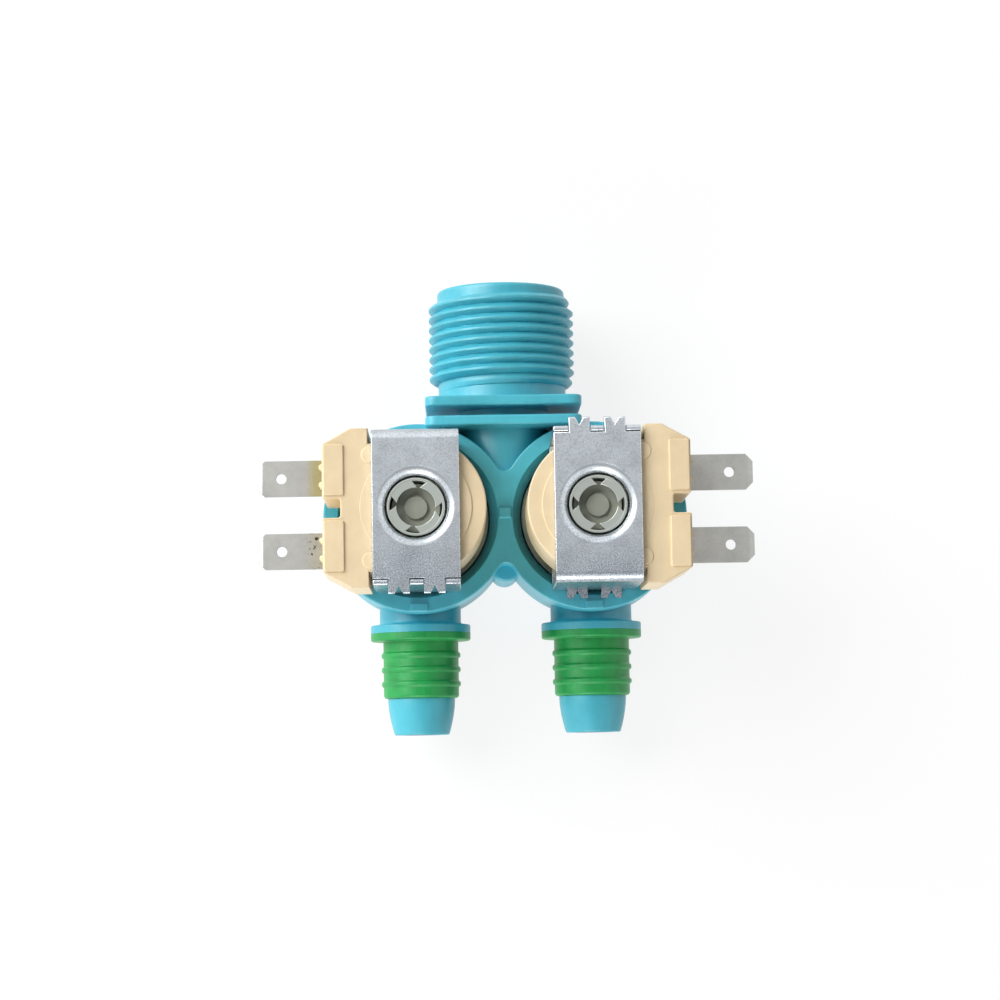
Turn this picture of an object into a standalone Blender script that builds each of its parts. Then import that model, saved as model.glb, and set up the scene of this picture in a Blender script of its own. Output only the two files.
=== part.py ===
"""Washing machine inlet valve: one threaded inlet, two solenoid valves and an outlet spigot for each.

The valve lies on its back. +X runs across the two valves, +Y points out of the threaded inlet and +Z points
out of the solenoids. The origin is under the middle of the whole part, on the plane that it rests on.
Each solenoid unit is modelled about its own coil axis. The right unit is the left one turned half a turn.
"""
import math

import bmesh
import bpy
from mathutils import Matrix, Vector

MM = 0.001

# Clearances
SEAT_GAP = 0.25 * MM
SLIDE_GAP = 0.25 * MM
CUT_OVERRUN = 1.0 * MM
MERGE = 1e-6
FLAT_ANGLE = math.radians(0.05)

# Layout
NECK_REACH = 42.2 * MM
SPIGOT_REACH = 38.5 * MM
NECK_AXIS_Z = 13.5 * MM
SPIGOT_AXIS_Z = 9.4 * MM
CENTRE_Y = (SPIGOT_REACH - NECK_REACH) / 2

# Inlet neck with a G 3/4 thread
THREAD_RADIUS = 13.22 * MM
THREAD_DEPTH = 1.16 * MM
THREAD_PITCH = 1.814 * MM
THREAD_START_Y = 24.27 * MM
THREAD_TURNS = 8
THREAD_RUN_OUT = 0.25
NECK_LEAD_RADIUS = 11.6 * MM
NECK_LEAD_ROUND = 0.9 * MM
NECK_BORE = 9.6 * MM
NECK_FLOOR = 1.6 * MM

# Bracket: two plates with a slot for the machine's panel between them
PLATE_WIDTH = 28.0 * MM
PLATE_THICKNESS = 1.8 * MM
PLATE_CORNER = 2.2 * MM
PANEL_SLOT = 1.75 * MM
PLATE_FRONT_Y = 21.5 * MM

# Manifold between the bracket and the two chambers
STEM_RADIUS = 8.2 * MM
PASSAGE_RADIUS = 3.7 * MM
PASSAGE_AXIS_Z = 10.4 * MM
CROSS_PASSAGE_Y = 2.5 * MM
CROSS_PASSAGE_HALF = 7.0 * MM

# Valve chambers
CUP_FLOOR = 2.5 * MM
CUP_RIM_Z = 23.5 * MM
RIM_WIDTH = 2.8 * MM
RIM_FLARE = 1.2 * MM
CUP_OVERLAP = 2.6 * MM
RIM_CHAMFER_DEPTH = 2.5 * MM
POCKET_RADIUS = 12.9 * MM
LEDGE_WIDTH = 2.1 * MM
LEDGE_Z = 14.6 * MM
CUP_BEVEL = 0.7 * MM
SEAT_TUBE_RADIUS = 4.9 * MM
FLOW_BORE = 3.3 * MM
WEB_POST_RADIUS = 2.6 * MM
WEB_POST_Y = 8.6 * MM
WEB_POST_HEIGHT = 17.0 * MM
RIM_TAB = (3.1 * MM, 1.4 * MM, 0.8 * MM)
RIM_TAB_INSET = 0.9 * MM

# Outlet spigots and their sleeves
COLLAR_RADIUS = 7.4 * MM
SPIGOT_FLANGE_RADIUS = 9.1 * MM
SPIGOT_FLANGE_Y = 18.5 * MM
SPIGOT_FLANGE_THICKNESS = 1.5 * MM
SPIGOT_NECK_RADIUS = 5.0 * MM
BARB_RADIUS = 6.3 * MM
BARB_LENGTH = 6.6 * MM
TIP_RADIUS = 4.95 * MM
TIP_ROUND = 0.5 * MM
SLEEVE_RADIUS = 6.85 * MM
SLEEVE_RING_RADIUS = 7.2 * MM
SLEEVE_RING_LENGTH = 1.1 * MM
SLEEVE_RINGS = 3
SLEEVE_FLANGE_THICKNESS = 1.4 * MM

# Inlet strainer and flow washer
STRAINER_RIM_THICKNESS = 1.2 * MM
STRAINER_RIM_DROP = 1.0 * MM
STRAINER_BODY_RADIUS = 8.4 * MM
STRAINER_WALL = 0.9 * MM
STRAINER_TO_WASHER = 2.45 * MM
STRAINER_WINDOWS = 6
STRAINER_WINDOW_WIDTH = 5.2 * MM
STRAINER_END_BAND = 1.1 * MM
FLOW_WASHER_THICKNESS = 3.4 * MM
FLOW_WASHER_BORE = 2.6 * MM
FLOW_WASHER_DISH = 0.7 * MM

# Diaphragm, its poppet and the armature guide above them
MEMBRANE_THICKNESS = 0.8 * MM
MEMBRANE_HOLE = 1.9 * MM
MEMBRANE_ROLL_RADIUS = 9.3 * MM
MEMBRANE_ROLL_HEIGHT = 0.7 * MM
BEAD_WIDTH = 1.5 * MM
BEAD_THICKNESS = 1.7 * MM
POPPET_DISC_RADIUS = 6.2 * MM
POPPET_DISC_THICKNESS = 1.0 * MM
POPPET_STEM_RADIUS = 1.6 * MM
POPPET_COLLAR_RADIUS = 2.6 * MM
POPPET_COLLAR_THICKNESS = 1.0 * MM
NOZZLE_RADIUS = 1.2 * MM
NOZZLE_HEIGHT = 0.8 * MM
PILOT_BORE = 0.45 * MM
POPPET_LIFT = 1.9 * MM
GUIDE_TOP_THICKNESS = 1.7 * MM
GUIDE_RECESS_RADIUS = 10.9 * MM
GUIDE_HUB_RADIUS = 7.0 * MM
GUIDE_TUBE_RADIUS = 4.2 * MM
GUIDE_BORE = 3.6 * MM
GUIDE_END_WALL = 1.0 * MM
GUIDE_NIB_RADIUS = 2.05 * MM
GUIDE_NIB_HEIGHT = 1.0 * MM

# Plunger
PLUNGER_LENGTH = 20.6 * MM
PLUNGER_STROKE = 2.5 * MM
PLUNGER_CHAMFER = 0.5 * MM
SEAL_RADIUS = 1.9 * MM
SEAL_THICKNESS = 1.4 * MM
SEAL_PROUD = 0.2 * MM
SPRING_RADIUS = 1.35 * MM
SPRING_WIRE = 0.2 * MM
SPRING_TURNS = 4
SPRING_POCKET_RADIUS = 2.0 * MM
SPRING_POCKET_DEPTH = 7.0 * MM

# Steel yoke: two equal angles, each with two staked teeth
SHEET = 1.0 * MM
YOKE_WIDTH = 15.0 * MM
COIL_TO_YOKE = 0.3 * MM
YOKE_BEND = 1.7 * MM
TOOTH_WIDTH = 3.5 * MM
TOOTH_SPREAD = 0.12 * MM
TOOTH_PITCH = 6.1 * MM
TOOTH_LENGTH = 1.5 * MM
TOOTH_NOTCH_WIDTH = 1.5 * MM
TOOTH_NOTCH_DEPTH = 1.35 * MM
TOOTH_GAP = 0.12 * MM
POLE_HOLE = 5.25 * MM
FUNNEL_RADIUS = 6.8 * MM
LIP_RADIUS = 6.2 * MM
LIP_HEIGHT = 0.8 * MM

# Pole bushes
BUSH_WALL = 0.5 * MM
FRONT_BUSH_LENGTH = 8.0 * MM
BACK_BUSH_LENGTH = 9.0 * MM
PETAL_DROP = 1.7 * MM
PETAL_GAP = 1.85 * MM
PETAL_INNER_RADIUS = 3.3 * MM
PETAL_WIDTH = 4.4 * MM
PETAL_THICKNESS = 0.5 * MM
PETAL_TURN = math.radians(6)

# Coil
COIL_RADIUS = 12.1 * MM
COIL_END_WALL = 1.2 * MM
COIL_SHELL = 1.2 * MM
COIL_MOUTH = 6.7 * MM
COIL_STEP_RADIUS = 9.6 * MM
COIL_STEP_HEIGHT = 0.25 * MM
BOBBIN_WALL = 0.8 * MM
BOBBIN_FLANGE = 1.0 * MM
WINDING_BELOW_FLANGE = 0.45 * MM

# Terminal block moulded on the coil
BLOCK_INNER_X = 8.0 * MM
BLOCK_OUTER_X = 16.0 * MM
BLOCK_HALF_HEIGHT = 13.7 * MM
BLOCK_CHAMFER = (4.9 * MM, 2.7 * MM)
BLOCK_BACK_Z = 26.5 * MM
BLOCK_FRONT_Z = 44.85 * MM
NOTCH_HALF_WIDTH = 1.65 * MM
NOTCH_DEPTH = 3.1 * MM
PAD_DEPTH = 3.7 * MM
PAD_HEIGHT = 0.4 * MM
PAD_INNER_Y = 2.2 * MM
PAD_OUTER_Y = 10.9 * MM
BUMP_RADIUS = 1.2 * MM
BUMP_X = 8.7 * MM
BUMP_Y = 9.4 * MM

# Blades
BLADE_WIDTH = 6.3 * MM
BLADE_THICKNESS = 0.8 * MM
BLADE_TIP_X = 27.9 * MM
BLADE_ROOT = 3.0 * MM
BLADE_PITCH = 12.8 * MM
BLADE_Z = 32.5 * MM
BLADE_CORNER = 1.3 * MM
BLADE_HOLE_RADIUS = 0.9 * MM
BLADE_HOLE_FROM_TIP = 4.2 * MM
BLADE_BEVEL = 0.25 * MM
BLADE_BEVEL_LENGTH = 0.9 * MM

# Facets round each kind of turned shape
NECK_STEPS = 16
CUP_STEPS = 28
SPIGOT_STEPS = 14
COIL_STEPS = 24
BUSH_STEPS = 14
INNER_STEPS = 14
HOLE_STEPS = 10
SPRING_STEPS = 8

# Levels that follow from the sizes above
PLATE_HEIGHT = 2 * NECK_AXIS_Z
LEDGE_RADIUS = POCKET_RADIUS - LEDGE_WIDTH
RIM_INNER_RADIUS = POCKET_RADIUS + RIM_FLARE
CUP_RADIUS = RIM_INNER_RADIUS + RIM_WIDTH
COIL_SPACING = 2 * CUP_RADIUS - CUP_OVERLAP
NECK_FLOOR_Y = PLATE_FRONT_Y + NECK_FLOOR
SPIGOT_SEAT_Y = SPIGOT_FLANGE_Y + SPIGOT_FLANGE_THICKNESS
BARB_Y = SPIGOT_REACH - BARB_LENGTH
SLEEVE_START_Y = SPIGOT_SEAT_Y + SEAT_GAP
SLEEVE_END_Y = BARB_Y - SEAT_GAP
SLEEVE_RING_PITCH = (SLEEVE_END_Y - SLEEVE_START_Y - SLEEVE_FLANGE_THICKNESS) / (SLEEVE_RINGS + 1)
WASHER_Y = NECK_FLOOR_Y + SEAT_GAP
STRAINER_TOP_Y = NECK_REACH - STRAINER_RIM_DROP
STRAINER_END_Y = WASHER_Y + FLOW_WASHER_THICKNESS + STRAINER_TO_WASHER
MEMBRANE_Z = LEDGE_Z + SEAT_GAP
POPPET_DISC_Z = MEMBRANE_Z + MEMBRANE_THICKNESS + SEAT_GAP
NOZZLE_TOP_Z = POPPET_DISC_Z + POPPET_DISC_THICKNESS + NOZZLE_HEIGHT
SEAL_Z = NOZZLE_TOP_Z + SEAT_GAP
PLUNGER_Z = SEAL_Z + SEAL_PROUD
PLUNGER_TOP_Z = PLUNGER_Z + PLUNGER_LENGTH
GUIDE_Z = MEMBRANE_Z + BEAD_THICKNESS + SEAT_GAP
GUIDE_RECESS_Z = POPPET_DISC_Z + POPPET_DISC_THICKNESS + POPPET_LIFT + SEAT_GAP
GUIDE_PLATE_Z = GUIDE_RECESS_Z + GUIDE_TOP_THICKNESS
GUIDE_INNER_END_Z = PLUNGER_TOP_Z + PLUNGER_STROKE + SEAT_GAP
GUIDE_END_Z = GUIDE_INNER_END_Z + GUIDE_END_WALL
YOKE_BACK_Z = CUP_RIM_Z + SEAT_GAP
PETAL_Z = GUIDE_END_Z + PETAL_GAP
YOKE_FRONT_Z = PETAL_Z + PETAL_THICKNESS + PETAL_DROP
YOKE_DEPTH = YOKE_FRONT_Z - YOKE_BACK_Z
COIL_BACK_Z = YOKE_BACK_Z + SHEET + SEAT_GAP
COIL_FRONT_Z = YOKE_FRONT_Z - SHEET - SEAT_GAP
BUSH_RADIUS = POLE_HOLE - SLIDE_GAP
YOKE_HALF = COIL_RADIUS + COIL_TO_YOKE + SHEET
BOBBIN_RADIUS = COIL_RADIUS - COIL_SHELL - SLIDE_GAP
WINDING_RADIUS = BOBBIN_RADIUS - WINDING_BELOW_FLANGE

UNIT_TURNS = {"left": 0.0, "right": math.pi}


def reset_scene():
    for old in list(bpy.data.objects):
        bpy.data.objects.remove(old, do_unlink=True)


def make_collections():
    parts = bpy.data.collections.new("inlet_valve")
    cutters = bpy.data.collections.new("inlet_valve_cutters")
    for group in (parts, cutters):
        bpy.context.scene.collection.children.link(group)
    cutters.hide_render = True
    return parts, cutters


def material(name, colour, roughness, metallic=0.0):
    finish = bpy.data.materials.new(name)
    finish.use_nodes = True
    shader = finish.node_tree.nodes["Principled BSDF"]
    shader.inputs["Base Color"].default_value = (*colour, 1.0)
    shader.inputs["Roughness"].default_value = roughness
    shader.inputs["Metallic"].default_value = metallic
    finish.diffuse_color = (*colour, 1.0)
    return finish


def add_object(name, data):
    obj = bpy.data.objects.new(name, data)
    PARTS.objects.link(obj)
    return obj


def as_mesh(obj):
    """Swap an object for one whose mesh is its evaluated shape with welded vertices."""
    depsgraph = bpy.context.evaluated_depsgraph_get()
    mesh = bpy.data.meshes.new_from_object(obj.evaluated_get(depsgraph))
    work = bmesh.new()
    work.from_mesh(mesh)
    bmesh.ops.remove_doubles(work, verts=work.verts, dist=MERGE)
    bmesh.ops.dissolve_limit(work, angle_limit=FLAT_ANGLE, verts=work.verts, edges=work.edges)
    work.to_mesh(mesh)
    work.free()
    name = obj.name
    place = obj.matrix_world.copy()
    bpy.data.objects.remove(obj, do_unlink=True)
    solid = add_object(name, mesh)
    solid.matrix_world = place
    return solid


def bake_place(obj):
    """Put an object's location and rotation into its mesh."""
    bpy.context.view_layer.update()
    obj.data.transform(obj.matrix_world)
    obj.matrix_world = Matrix.Identity(4)
    return obj


def turned(name, profile, steps, place=None):
    """Turn a closed solid about Z from (radius, z) points that run down its outer side."""
    mesh = bpy.data.meshes.new(name)
    points = [(radius, 0.0, height) for radius, height in profile]
    closed = all(radius > MERGE for radius, _ in profile)
    edges = [(i, i + 1) for i in range(len(points) - 1)]
    if closed:
        edges.append((len(points) - 1, 0))
    mesh.from_pydata(points, edges, [])
    obj = add_object(name, mesh)
    screw = obj.modifiers.new("turn", "SCREW")
    screw.steps = steps
    screw.render_steps = steps
    screw.use_merge_vertices = True
    screw.merge_threshold = MERGE
    screw.use_normal_calculate = False
    obj = as_mesh(obj)
    if place:
        obj.matrix_world = place
        bake_place(obj)
    return obj


def arc(centre, radius, start, end, steps):
    """Points on an arc, both ends included, with angles in degrees."""
    points = []
    for i in range(steps + 1):
        angle = math.radians(start + (end - start) * i / steps)
        points.append((centre[0] + radius * math.cos(angle), centre[1] + radius * math.sin(angle)))
    return points


def prism(name, outline, low, high, place=None):
    """Extrude a flat outline in XY from the height low to the height high."""
    curve = bpy.data.curves.new(name, "CURVE")
    curve.dimensions = "2D"
    curve.fill_mode = "BOTH"
    curve.extrude = (high - low) / 2
    spline = curve.splines.new("POLY")
    spline.points.add(len(outline) - 1)
    for point, (x, y) in zip(spline.points, outline):
        point.co = (x, y, 0.0, 1.0)
    spline.use_cyclic_u = True
    obj = add_object(name, curve)
    bpy.context.view_layer.update()
    obj = as_mesh(obj)
    obj.matrix_world = (place or Matrix.Identity(4)) @ Matrix.Translation((0, 0, (low + high) / 2))
    return bake_place(obj)


def box(name, low, high):
    """Box between two corners."""
    low = Vector(low)
    high = Vector(high)
    mesh = bpy.data.meshes.new(name)
    work = bmesh.new()
    bmesh.ops.create_cube(work, size=1.0)
    size = Matrix.Diagonal((*(high - low), 1.0))
    bmesh.ops.transform(work, matrix=Matrix.Translation((low + high) / 2) @ size, verts=work.verts)
    work.to_mesh(mesh)
    work.free()
    return add_object(name, mesh)


def rod(name, radius, start, end, steps):
    """Cylinder from one point to another."""
    start = Vector(start)
    end = Vector(end)
    along = end - start
    mesh = bpy.data.meshes.new(name)
    work = bmesh.new()
    length = along.length
    bmesh.ops.create_cone(work, cap_ends=True, segments=steps, radius1=radius, radius2=radius, depth=length)
    turn = Vector((0, 0, 1)).rotation_difference(along).to_matrix().to_4x4()
    bmesh.ops.transform(work, matrix=Matrix.Translation((start + end) / 2) @ turn, verts=work.verts)
    work.to_mesh(mesh)
    work.free()
    return add_object(name, mesh)


def combine(obj, other, operation):
    """Join or cut with another solid, which is then removed."""
    CUTTERS.objects.link(other)
    PARTS.objects.unlink(other)
    other.hide_render = True
    other.display_type = "WIRE"
    change = obj.modifiers.new(operation.lower(), "BOOLEAN")
    change.operation = operation
    change.solver = "EXACT"
    change.object = other
    bpy.context.view_layer.update()
    obj = as_mesh(obj)
    bpy.data.objects.remove(other, do_unlink=True)
    return obj


def join(obj, *others):
    for other in others:
        obj = combine(obj, other, "UNION")
    return obj


def cut(obj, *others):
    for other in others:
        obj = combine(obj, other, "DIFFERENCE")
    return obj


def finish(obj, finish_material, parent=None, smooth_angle=math.radians(32)):
    """Split a piece into triangles, give it its material and shading and hang it on its parent."""
    work = bmesh.new()
    work.from_mesh(obj.data)
    bmesh.ops.triangulate(work, faces=work.faces, ngon_method="BEAUTY")
    work.to_mesh(obj.data)
    work.free()
    obj.data.materials.clear()
    obj.data.materials.append(finish_material)
    obj.data.shade_smooth()
    obj.data.set_sharp_from_angle(angle=smooth_angle)
    obj.parent = parent
    return obj


def to_inlet(y=0.0, z=NECK_AXIS_Z, x=0.0):
    """Place for a shape turned about Z that should point along +Y."""
    return Matrix.Translation((x, CENTRE_Y + y, z)) @ Matrix.Rotation(-math.pi / 2, 4, "X")


def to_outlet(x, z=SPIGOT_AXIS_Z):
    """Place for a shape turned about Z that should point along -Y."""
    return Matrix.Translation((x, CENTRE_Y, z)) @ Matrix.Rotation(math.pi / 2, 4, "X")


def coil_x(side):
    return COIL_SPACING / 2 * (-1 if side == "left" else 1)


def neck_solid():
    """Neck without its thread and bore, with a rounded mouth."""
    lead_end = NECK_REACH - NECK_LEAD_ROUND
    rounding = arc((NECK_LEAD_RADIUS - NECK_LEAD_ROUND, lead_end), NECK_LEAD_ROUND, 90, 0, 3)
    inside_plate = PLATE_FRONT_Y - PLATE_THICKNESS / 2
    profile = [(0.0, NECK_REACH)] + rounding + [(NECK_LEAD_RADIUS, inside_plate), (0.0, inside_plate)]
    return turned("neck", profile, NECK_STEPS, to_inlet())


def thread_solid():
    """Right-hand thread round the neck: a helical row of crests between rows of roots, closed by two fans."""
    mesh = bpy.data.meshes.new("thread")
    work = bmesh.new()
    last = THREAD_TURNS * NECK_STEPS
    run_out = THREAD_RUN_OUT * NECK_STEPS
    root = THREAD_RADIUS - THREAD_DEPTH

    def point(index, radius, lift):
        turns = (index + 0.5) / NECK_STEPS
        angle = 2 * math.pi * turns
        height = THREAD_START_Y + THREAD_PITCH * (turns + lift)
        return work.verts.new((radius * math.cos(angle), radius * math.sin(angle), height))

    roots = [point(i, root, 0.0) for i in range(last + NECK_STEPS + 1)]
    crests = []
    for i in range(last + 1):
        fade = min(1.0, (i + 1) / run_out, (last - i + 1) / run_out)
        crests.append(point(i, root + THREAD_DEPTH * fade, 0.5))
    for i in range(last):
        work.faces.new((roots[i], roots[i + 1], crests[i + 1], crests[i]))
        work.faces.new((crests[i], crests[i + 1], roots[i + NECK_STEPS + 1], roots[i + NECK_STEPS]))
    for loop in (roots[:NECK_STEPS + 1] + crests[:1], roots[last:] + crests[last:]):
        middle = work.verts.new((0.0, 0.0, sum(vert.co.z for vert in loop) / len(loop)))
        for here, ahead in zip(loop, loop[1:] + loop[:1]):
            work.faces.new((middle, here, ahead))
    bmesh.ops.triangulate(work, faces=work.faces)
    bmesh.ops.recalc_face_normals(work, faces=work.faces)
    work.to_mesh(mesh)
    work.free()
    thread = add_object("thread", mesh)
    thread.matrix_world = to_inlet()
    return bake_place(thread)


def bracket_plate(front_y):
    """Rounded rectangular plate across the neck axis."""
    half_x = PLATE_WIDTH / 2 - PLATE_CORNER
    half_z = PLATE_HEIGHT / 2 - PLATE_CORNER
    outline = []
    corners = [(half_x, half_z), (-half_x, half_z), (-half_x, -half_z), (half_x, -half_z)]
    for turn, (x, z) in enumerate(corners):
        outline += arc((x, z), PLATE_CORNER, 90 * turn, 90 * turn + 90, 3)
    return prism("bracket_plate", outline, front_y - PLATE_THICKNESS, front_y, to_inlet())


def cup_solid(side):
    """Outer shape of one valve chamber."""
    profile = [
        (0.0, CUP_RIM_Z),
        (CUP_RADIUS - CUP_BEVEL / 2, CUP_RIM_Z),
        (CUP_RADIUS, CUP_RIM_Z - CUP_BEVEL / 2),
        (CUP_RADIUS, CUP_BEVEL),
        (CUP_RADIUS - CUP_BEVEL, 0.0),
        (0.0, 0.0),
    ]
    return turned("cup", profile, CUP_STEPS, Matrix.Translation((coil_x(side), CENTRE_Y, 0)))


def cup_cutter(side):
    """Chamber space: flow ring, diaphragm pocket and the flared rim."""
    profile = [
        (0.0, CUP_RIM_Z + CUT_OVERRUN),
        (RIM_INNER_RADIUS, CUP_RIM_Z + CUT_OVERRUN),
        (RIM_INNER_RADIUS, CUP_RIM_Z),
        (POCKET_RADIUS, CUP_RIM_Z - RIM_CHAMFER_DEPTH),
        (POCKET_RADIUS, LEDGE_Z),
        (LEDGE_RADIUS, LEDGE_Z),
        (LEDGE_RADIUS, CUP_FLOOR),
        (0.0, CUP_FLOOR),
    ]
    return turned("cup_cutter", profile, CUP_STEPS, Matrix.Translation((coil_x(side), CENTRE_Y, 0)))


def spigot_solid(side):
    """Collar, flange, necked hose tail and tapered barb of one outlet."""
    rounding = arc((TIP_RADIUS - TIP_ROUND, SPIGOT_REACH - TIP_ROUND), TIP_ROUND, 90, 0, 2)
    inside_wall = POCKET_RADIUS + (CUP_RADIUS - POCKET_RADIUS) / 2
    profile = [(0.0, SPIGOT_REACH)] + rounding
    profile += [(BARB_RADIUS, BARB_Y + TIP_ROUND), (BARB_RADIUS, BARB_Y), (SPIGOT_NECK_RADIUS, BARB_Y)]
    profile += [(SPIGOT_NECK_RADIUS, SPIGOT_SEAT_Y), (SPIGOT_FLANGE_RADIUS, SPIGOT_SEAT_Y)]
    profile += [(SPIGOT_FLANGE_RADIUS, SPIGOT_FLANGE_Y), (COLLAR_RADIUS, SPIGOT_FLANGE_Y)]
    profile += [(COLLAR_RADIUS, inside_wall), (0.0, inside_wall)]
    return turned("spigot", profile, SPIGOT_STEPS, to_outlet(coil_x(side)))


def rim_tab(side):
    """Small locating tab on the rim, on the outlet side."""
    width, depth, height = RIM_TAB
    x = coil_x(side)
    y = CENTRE_Y - CUP_RADIUS + RIM_TAB_INSET
    low = (x - width / 2, y - depth / 2, CUP_RIM_Z - CUP_BEVEL)
    high = (x + width / 2, y + depth / 2, CUP_RIM_Z + height)
    return box("rim_tab", low, high)


def seat_elbow(side):
    """Outlet pipe that rises inside the chamber to the diaphragm's seat."""
    x = coil_x(side)
    riser = rod("riser", SEAT_TUBE_RADIUS, (x, CENTRE_Y, CUP_FLOOR / 2), (x, CENTRE_Y, LEDGE_Z), SPIGOT_STEPS)
    wall_y = CENTRE_Y - (LEDGE_RADIUS + CUP_RADIUS) / 2
    ends = ((x, CENTRE_Y, SPIGOT_AXIS_Z), (x, wall_y, SPIGOT_AXIS_Z))
    return riser, rod("outlet_pipe", SEAT_TUBE_RADIUS - SEAT_GAP, *ends, SPIGOT_STEPS)


def outlet_bores(side):
    """Bore down through the seat and out along the spigot."""
    x = coil_x(side)
    down = (x, CENTRE_Y, SPIGOT_AXIS_Z - FLOW_BORE + SEAT_GAP)
    up = (x, CENTRE_Y, LEDGE_Z + CUT_OVERRUN)
    back = (x, CENTRE_Y + FLOW_BORE / 2, SPIGOT_AXIS_Z)
    mouth = (x, CENTRE_Y - SPIGOT_REACH - CUT_OVERRUN, SPIGOT_AXIS_Z)
    seat = rod("seat_bore", FLOW_BORE - SEAT_GAP, down, up, SPIGOT_STEPS)
    return seat, rod("outlet_bore", FLOW_BORE, back, mouth, SPIGOT_STEPS)


def inlet_cutters():
    """Neck bore with its floor, the passage below it and the cross passage into both chambers."""
    floor_y = CENTRE_Y + NECK_FLOOR_Y
    mouth_y = CENTRE_Y + NECK_REACH + CUT_OVERRUN
    cross_y = CENTRE_Y + CROSS_PASSAGE_Y
    passage_start = (0, cross_y, PASSAGE_AXIS_Z)
    passage_end = (0, floor_y + CUT_OVERRUN, PASSAGE_AXIS_Z)
    left_end = (-CROSS_PASSAGE_HALF, cross_y, PASSAGE_AXIS_Z)
    right_end = (CROSS_PASSAGE_HALF, cross_y, PASSAGE_AXIS_Z)
    return (
        rod("neck_bore", NECK_BORE, (0, floor_y, NECK_AXIS_Z), (0, mouth_y, NECK_AXIS_Z), NECK_STEPS),
        rod("passage", PASSAGE_RADIUS, passage_start, passage_end, INNER_STEPS),
        rod("cross_passage", PASSAGE_RADIUS - SEAT_GAP, left_end, right_end, INNER_STEPS),
    )


def valve_body():
    """The one-piece moulded body."""
    body = join(neck_solid(), thread_solid(), bracket_plate(PLATE_FRONT_Y))
    stem_ends = (
        (0, CENTRE_Y + PLATE_FRONT_Y - PLATE_THICKNESS / 3, NECK_AXIS_Z),
        (0, CENTRE_Y + CROSS_PASSAGE_Y + SEAT_GAP, NECK_AXIS_Z),
    )
    stem = rod("stem", STEM_RADIUS, *stem_ends, NECK_STEPS)
    back_plate = bracket_plate(PLATE_FRONT_Y - PLATE_THICKNESS - PANEL_SLOT)
    post_y = CENTRE_Y - WEB_POST_Y
    post = rod("web_post", WEB_POST_RADIUS, (0, post_y, 0), (0, post_y, WEB_POST_HEIGHT), INNER_STEPS)
    body = join(body, stem, back_plate, cup_solid("left"), cup_solid("right"), post)
    for side in UNIT_TURNS:
        body = join(body, spigot_solid(side), rim_tab(side))
    for side in UNIT_TURNS:
        body = cut(body, cup_cutter(side))
        body = join(body, *seat_elbow(side))
        body = cut(body, *outlet_bores(side))
    body = cut(body, *inlet_cutters())
    body.name = "valve_body"
    return finish(body, MATERIALS["cyan_body"])


def inlet_strainer():
    """Basket strainer in the mouth of the neck: rim, ribs between windows and a closed end."""
    rim_low = STRAINER_TOP_Y - STRAINER_RIM_THICKNESS
    inner = STRAINER_BODY_RADIUS - STRAINER_WALL
    profile = [
        (0.0, STRAINER_TOP_Y),
        (NECK_BORE - SLIDE_GAP, STRAINER_TOP_Y),
        (NECK_BORE - SLIDE_GAP, rim_low),
        (STRAINER_BODY_RADIUS, rim_low),
        (STRAINER_BODY_RADIUS - STRAINER_WALL / 2, STRAINER_END_Y),
        (0.0, STRAINER_END_Y),
    ]
    basket = turned("inlet_strainer", profile, NECK_STEPS, to_inlet())
    mouth = STRAINER_TOP_Y + CUT_OVERRUN
    floor = STRAINER_END_Y + STRAINER_WALL
    hollow = [(0.0, mouth), (inner, mouth), (inner - STRAINER_WALL / 2, floor), (0.0, floor)]
    basket = cut(basket, turned("strainer_hollow", hollow, NECK_STEPS, to_inlet()))
    window_high = rim_low - STRAINER_WALL
    window_low = floor + STRAINER_END_BAND
    half = STRAINER_WINDOW_WIDTH / 2
    for i in range(STRAINER_WINDOWS):
        turn = Matrix.Rotation(2 * math.pi * i / STRAINER_WINDOWS, 4, "Z")
        window = box("window", (inner / 2, -half, window_low), (NECK_BORE, half, window_high))
        window.data.transform(to_inlet() @ turn)
        basket = cut(basket, window)
    return finish(basket, MATERIALS["strainer_plastic"])


def flow_washer():
    """Dished rubber washer that limits the flow, on the floor of the neck's bore."""
    low = WASHER_Y
    high = low + FLOW_WASHER_THICKNESS
    outer = NECK_BORE - SLIDE_GAP
    profile = [
        (outer - FLOW_WASHER_DISH, high),
        (outer, high - FLOW_WASHER_DISH),
        (outer, low),
        (FLOW_WASHER_BORE, low),
        (FLOW_WASHER_BORE, high - FLOW_WASHER_DISH),
    ]
    return finish(turned("flow_washer", profile, INNER_STEPS, to_inlet()), MATERIALS["black_rubber"])


def outlet_sleeve(side):
    """Ribbed sleeve pushed over the outlet's barb up to its flange."""
    inner = SPIGOT_NECK_RADIUS + SLIDE_GAP
    flange_end = SLEEVE_START_Y + SLEEVE_FLANGE_THICKNESS
    bevel = TIP_ROUND / 2
    profile = [(inner, SLEEVE_END_Y), (SLEEVE_RADIUS - bevel, SLEEVE_END_Y)]
    profile.append((SLEEVE_RADIUS, SLEEVE_END_Y - bevel))
    for i in range(SLEEVE_RINGS):
        centre = SLEEVE_END_Y - (i + 1) * SLEEVE_RING_PITCH
        profile += [
            (SLEEVE_RADIUS, centre + SLEEVE_RING_LENGTH / 2),
            (SLEEVE_RING_RADIUS, centre),
            (SLEEVE_RADIUS, centre - SLEEVE_RING_LENGTH / 2),
        ]
    profile += [(SLEEVE_RADIUS, flange_end), (SPIGOT_FLANGE_RADIUS, flange_end)]
    profile += [(SPIGOT_FLANGE_RADIUS, SLEEVE_START_Y), (inner, SLEEVE_START_Y)]
    sleeve = turned(f"outlet_sleeve_{side}", profile, SPIGOT_STEPS, to_outlet(coil_x(side)))
    return finish(sleeve, MATERIALS["green_sleeve"])


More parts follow.
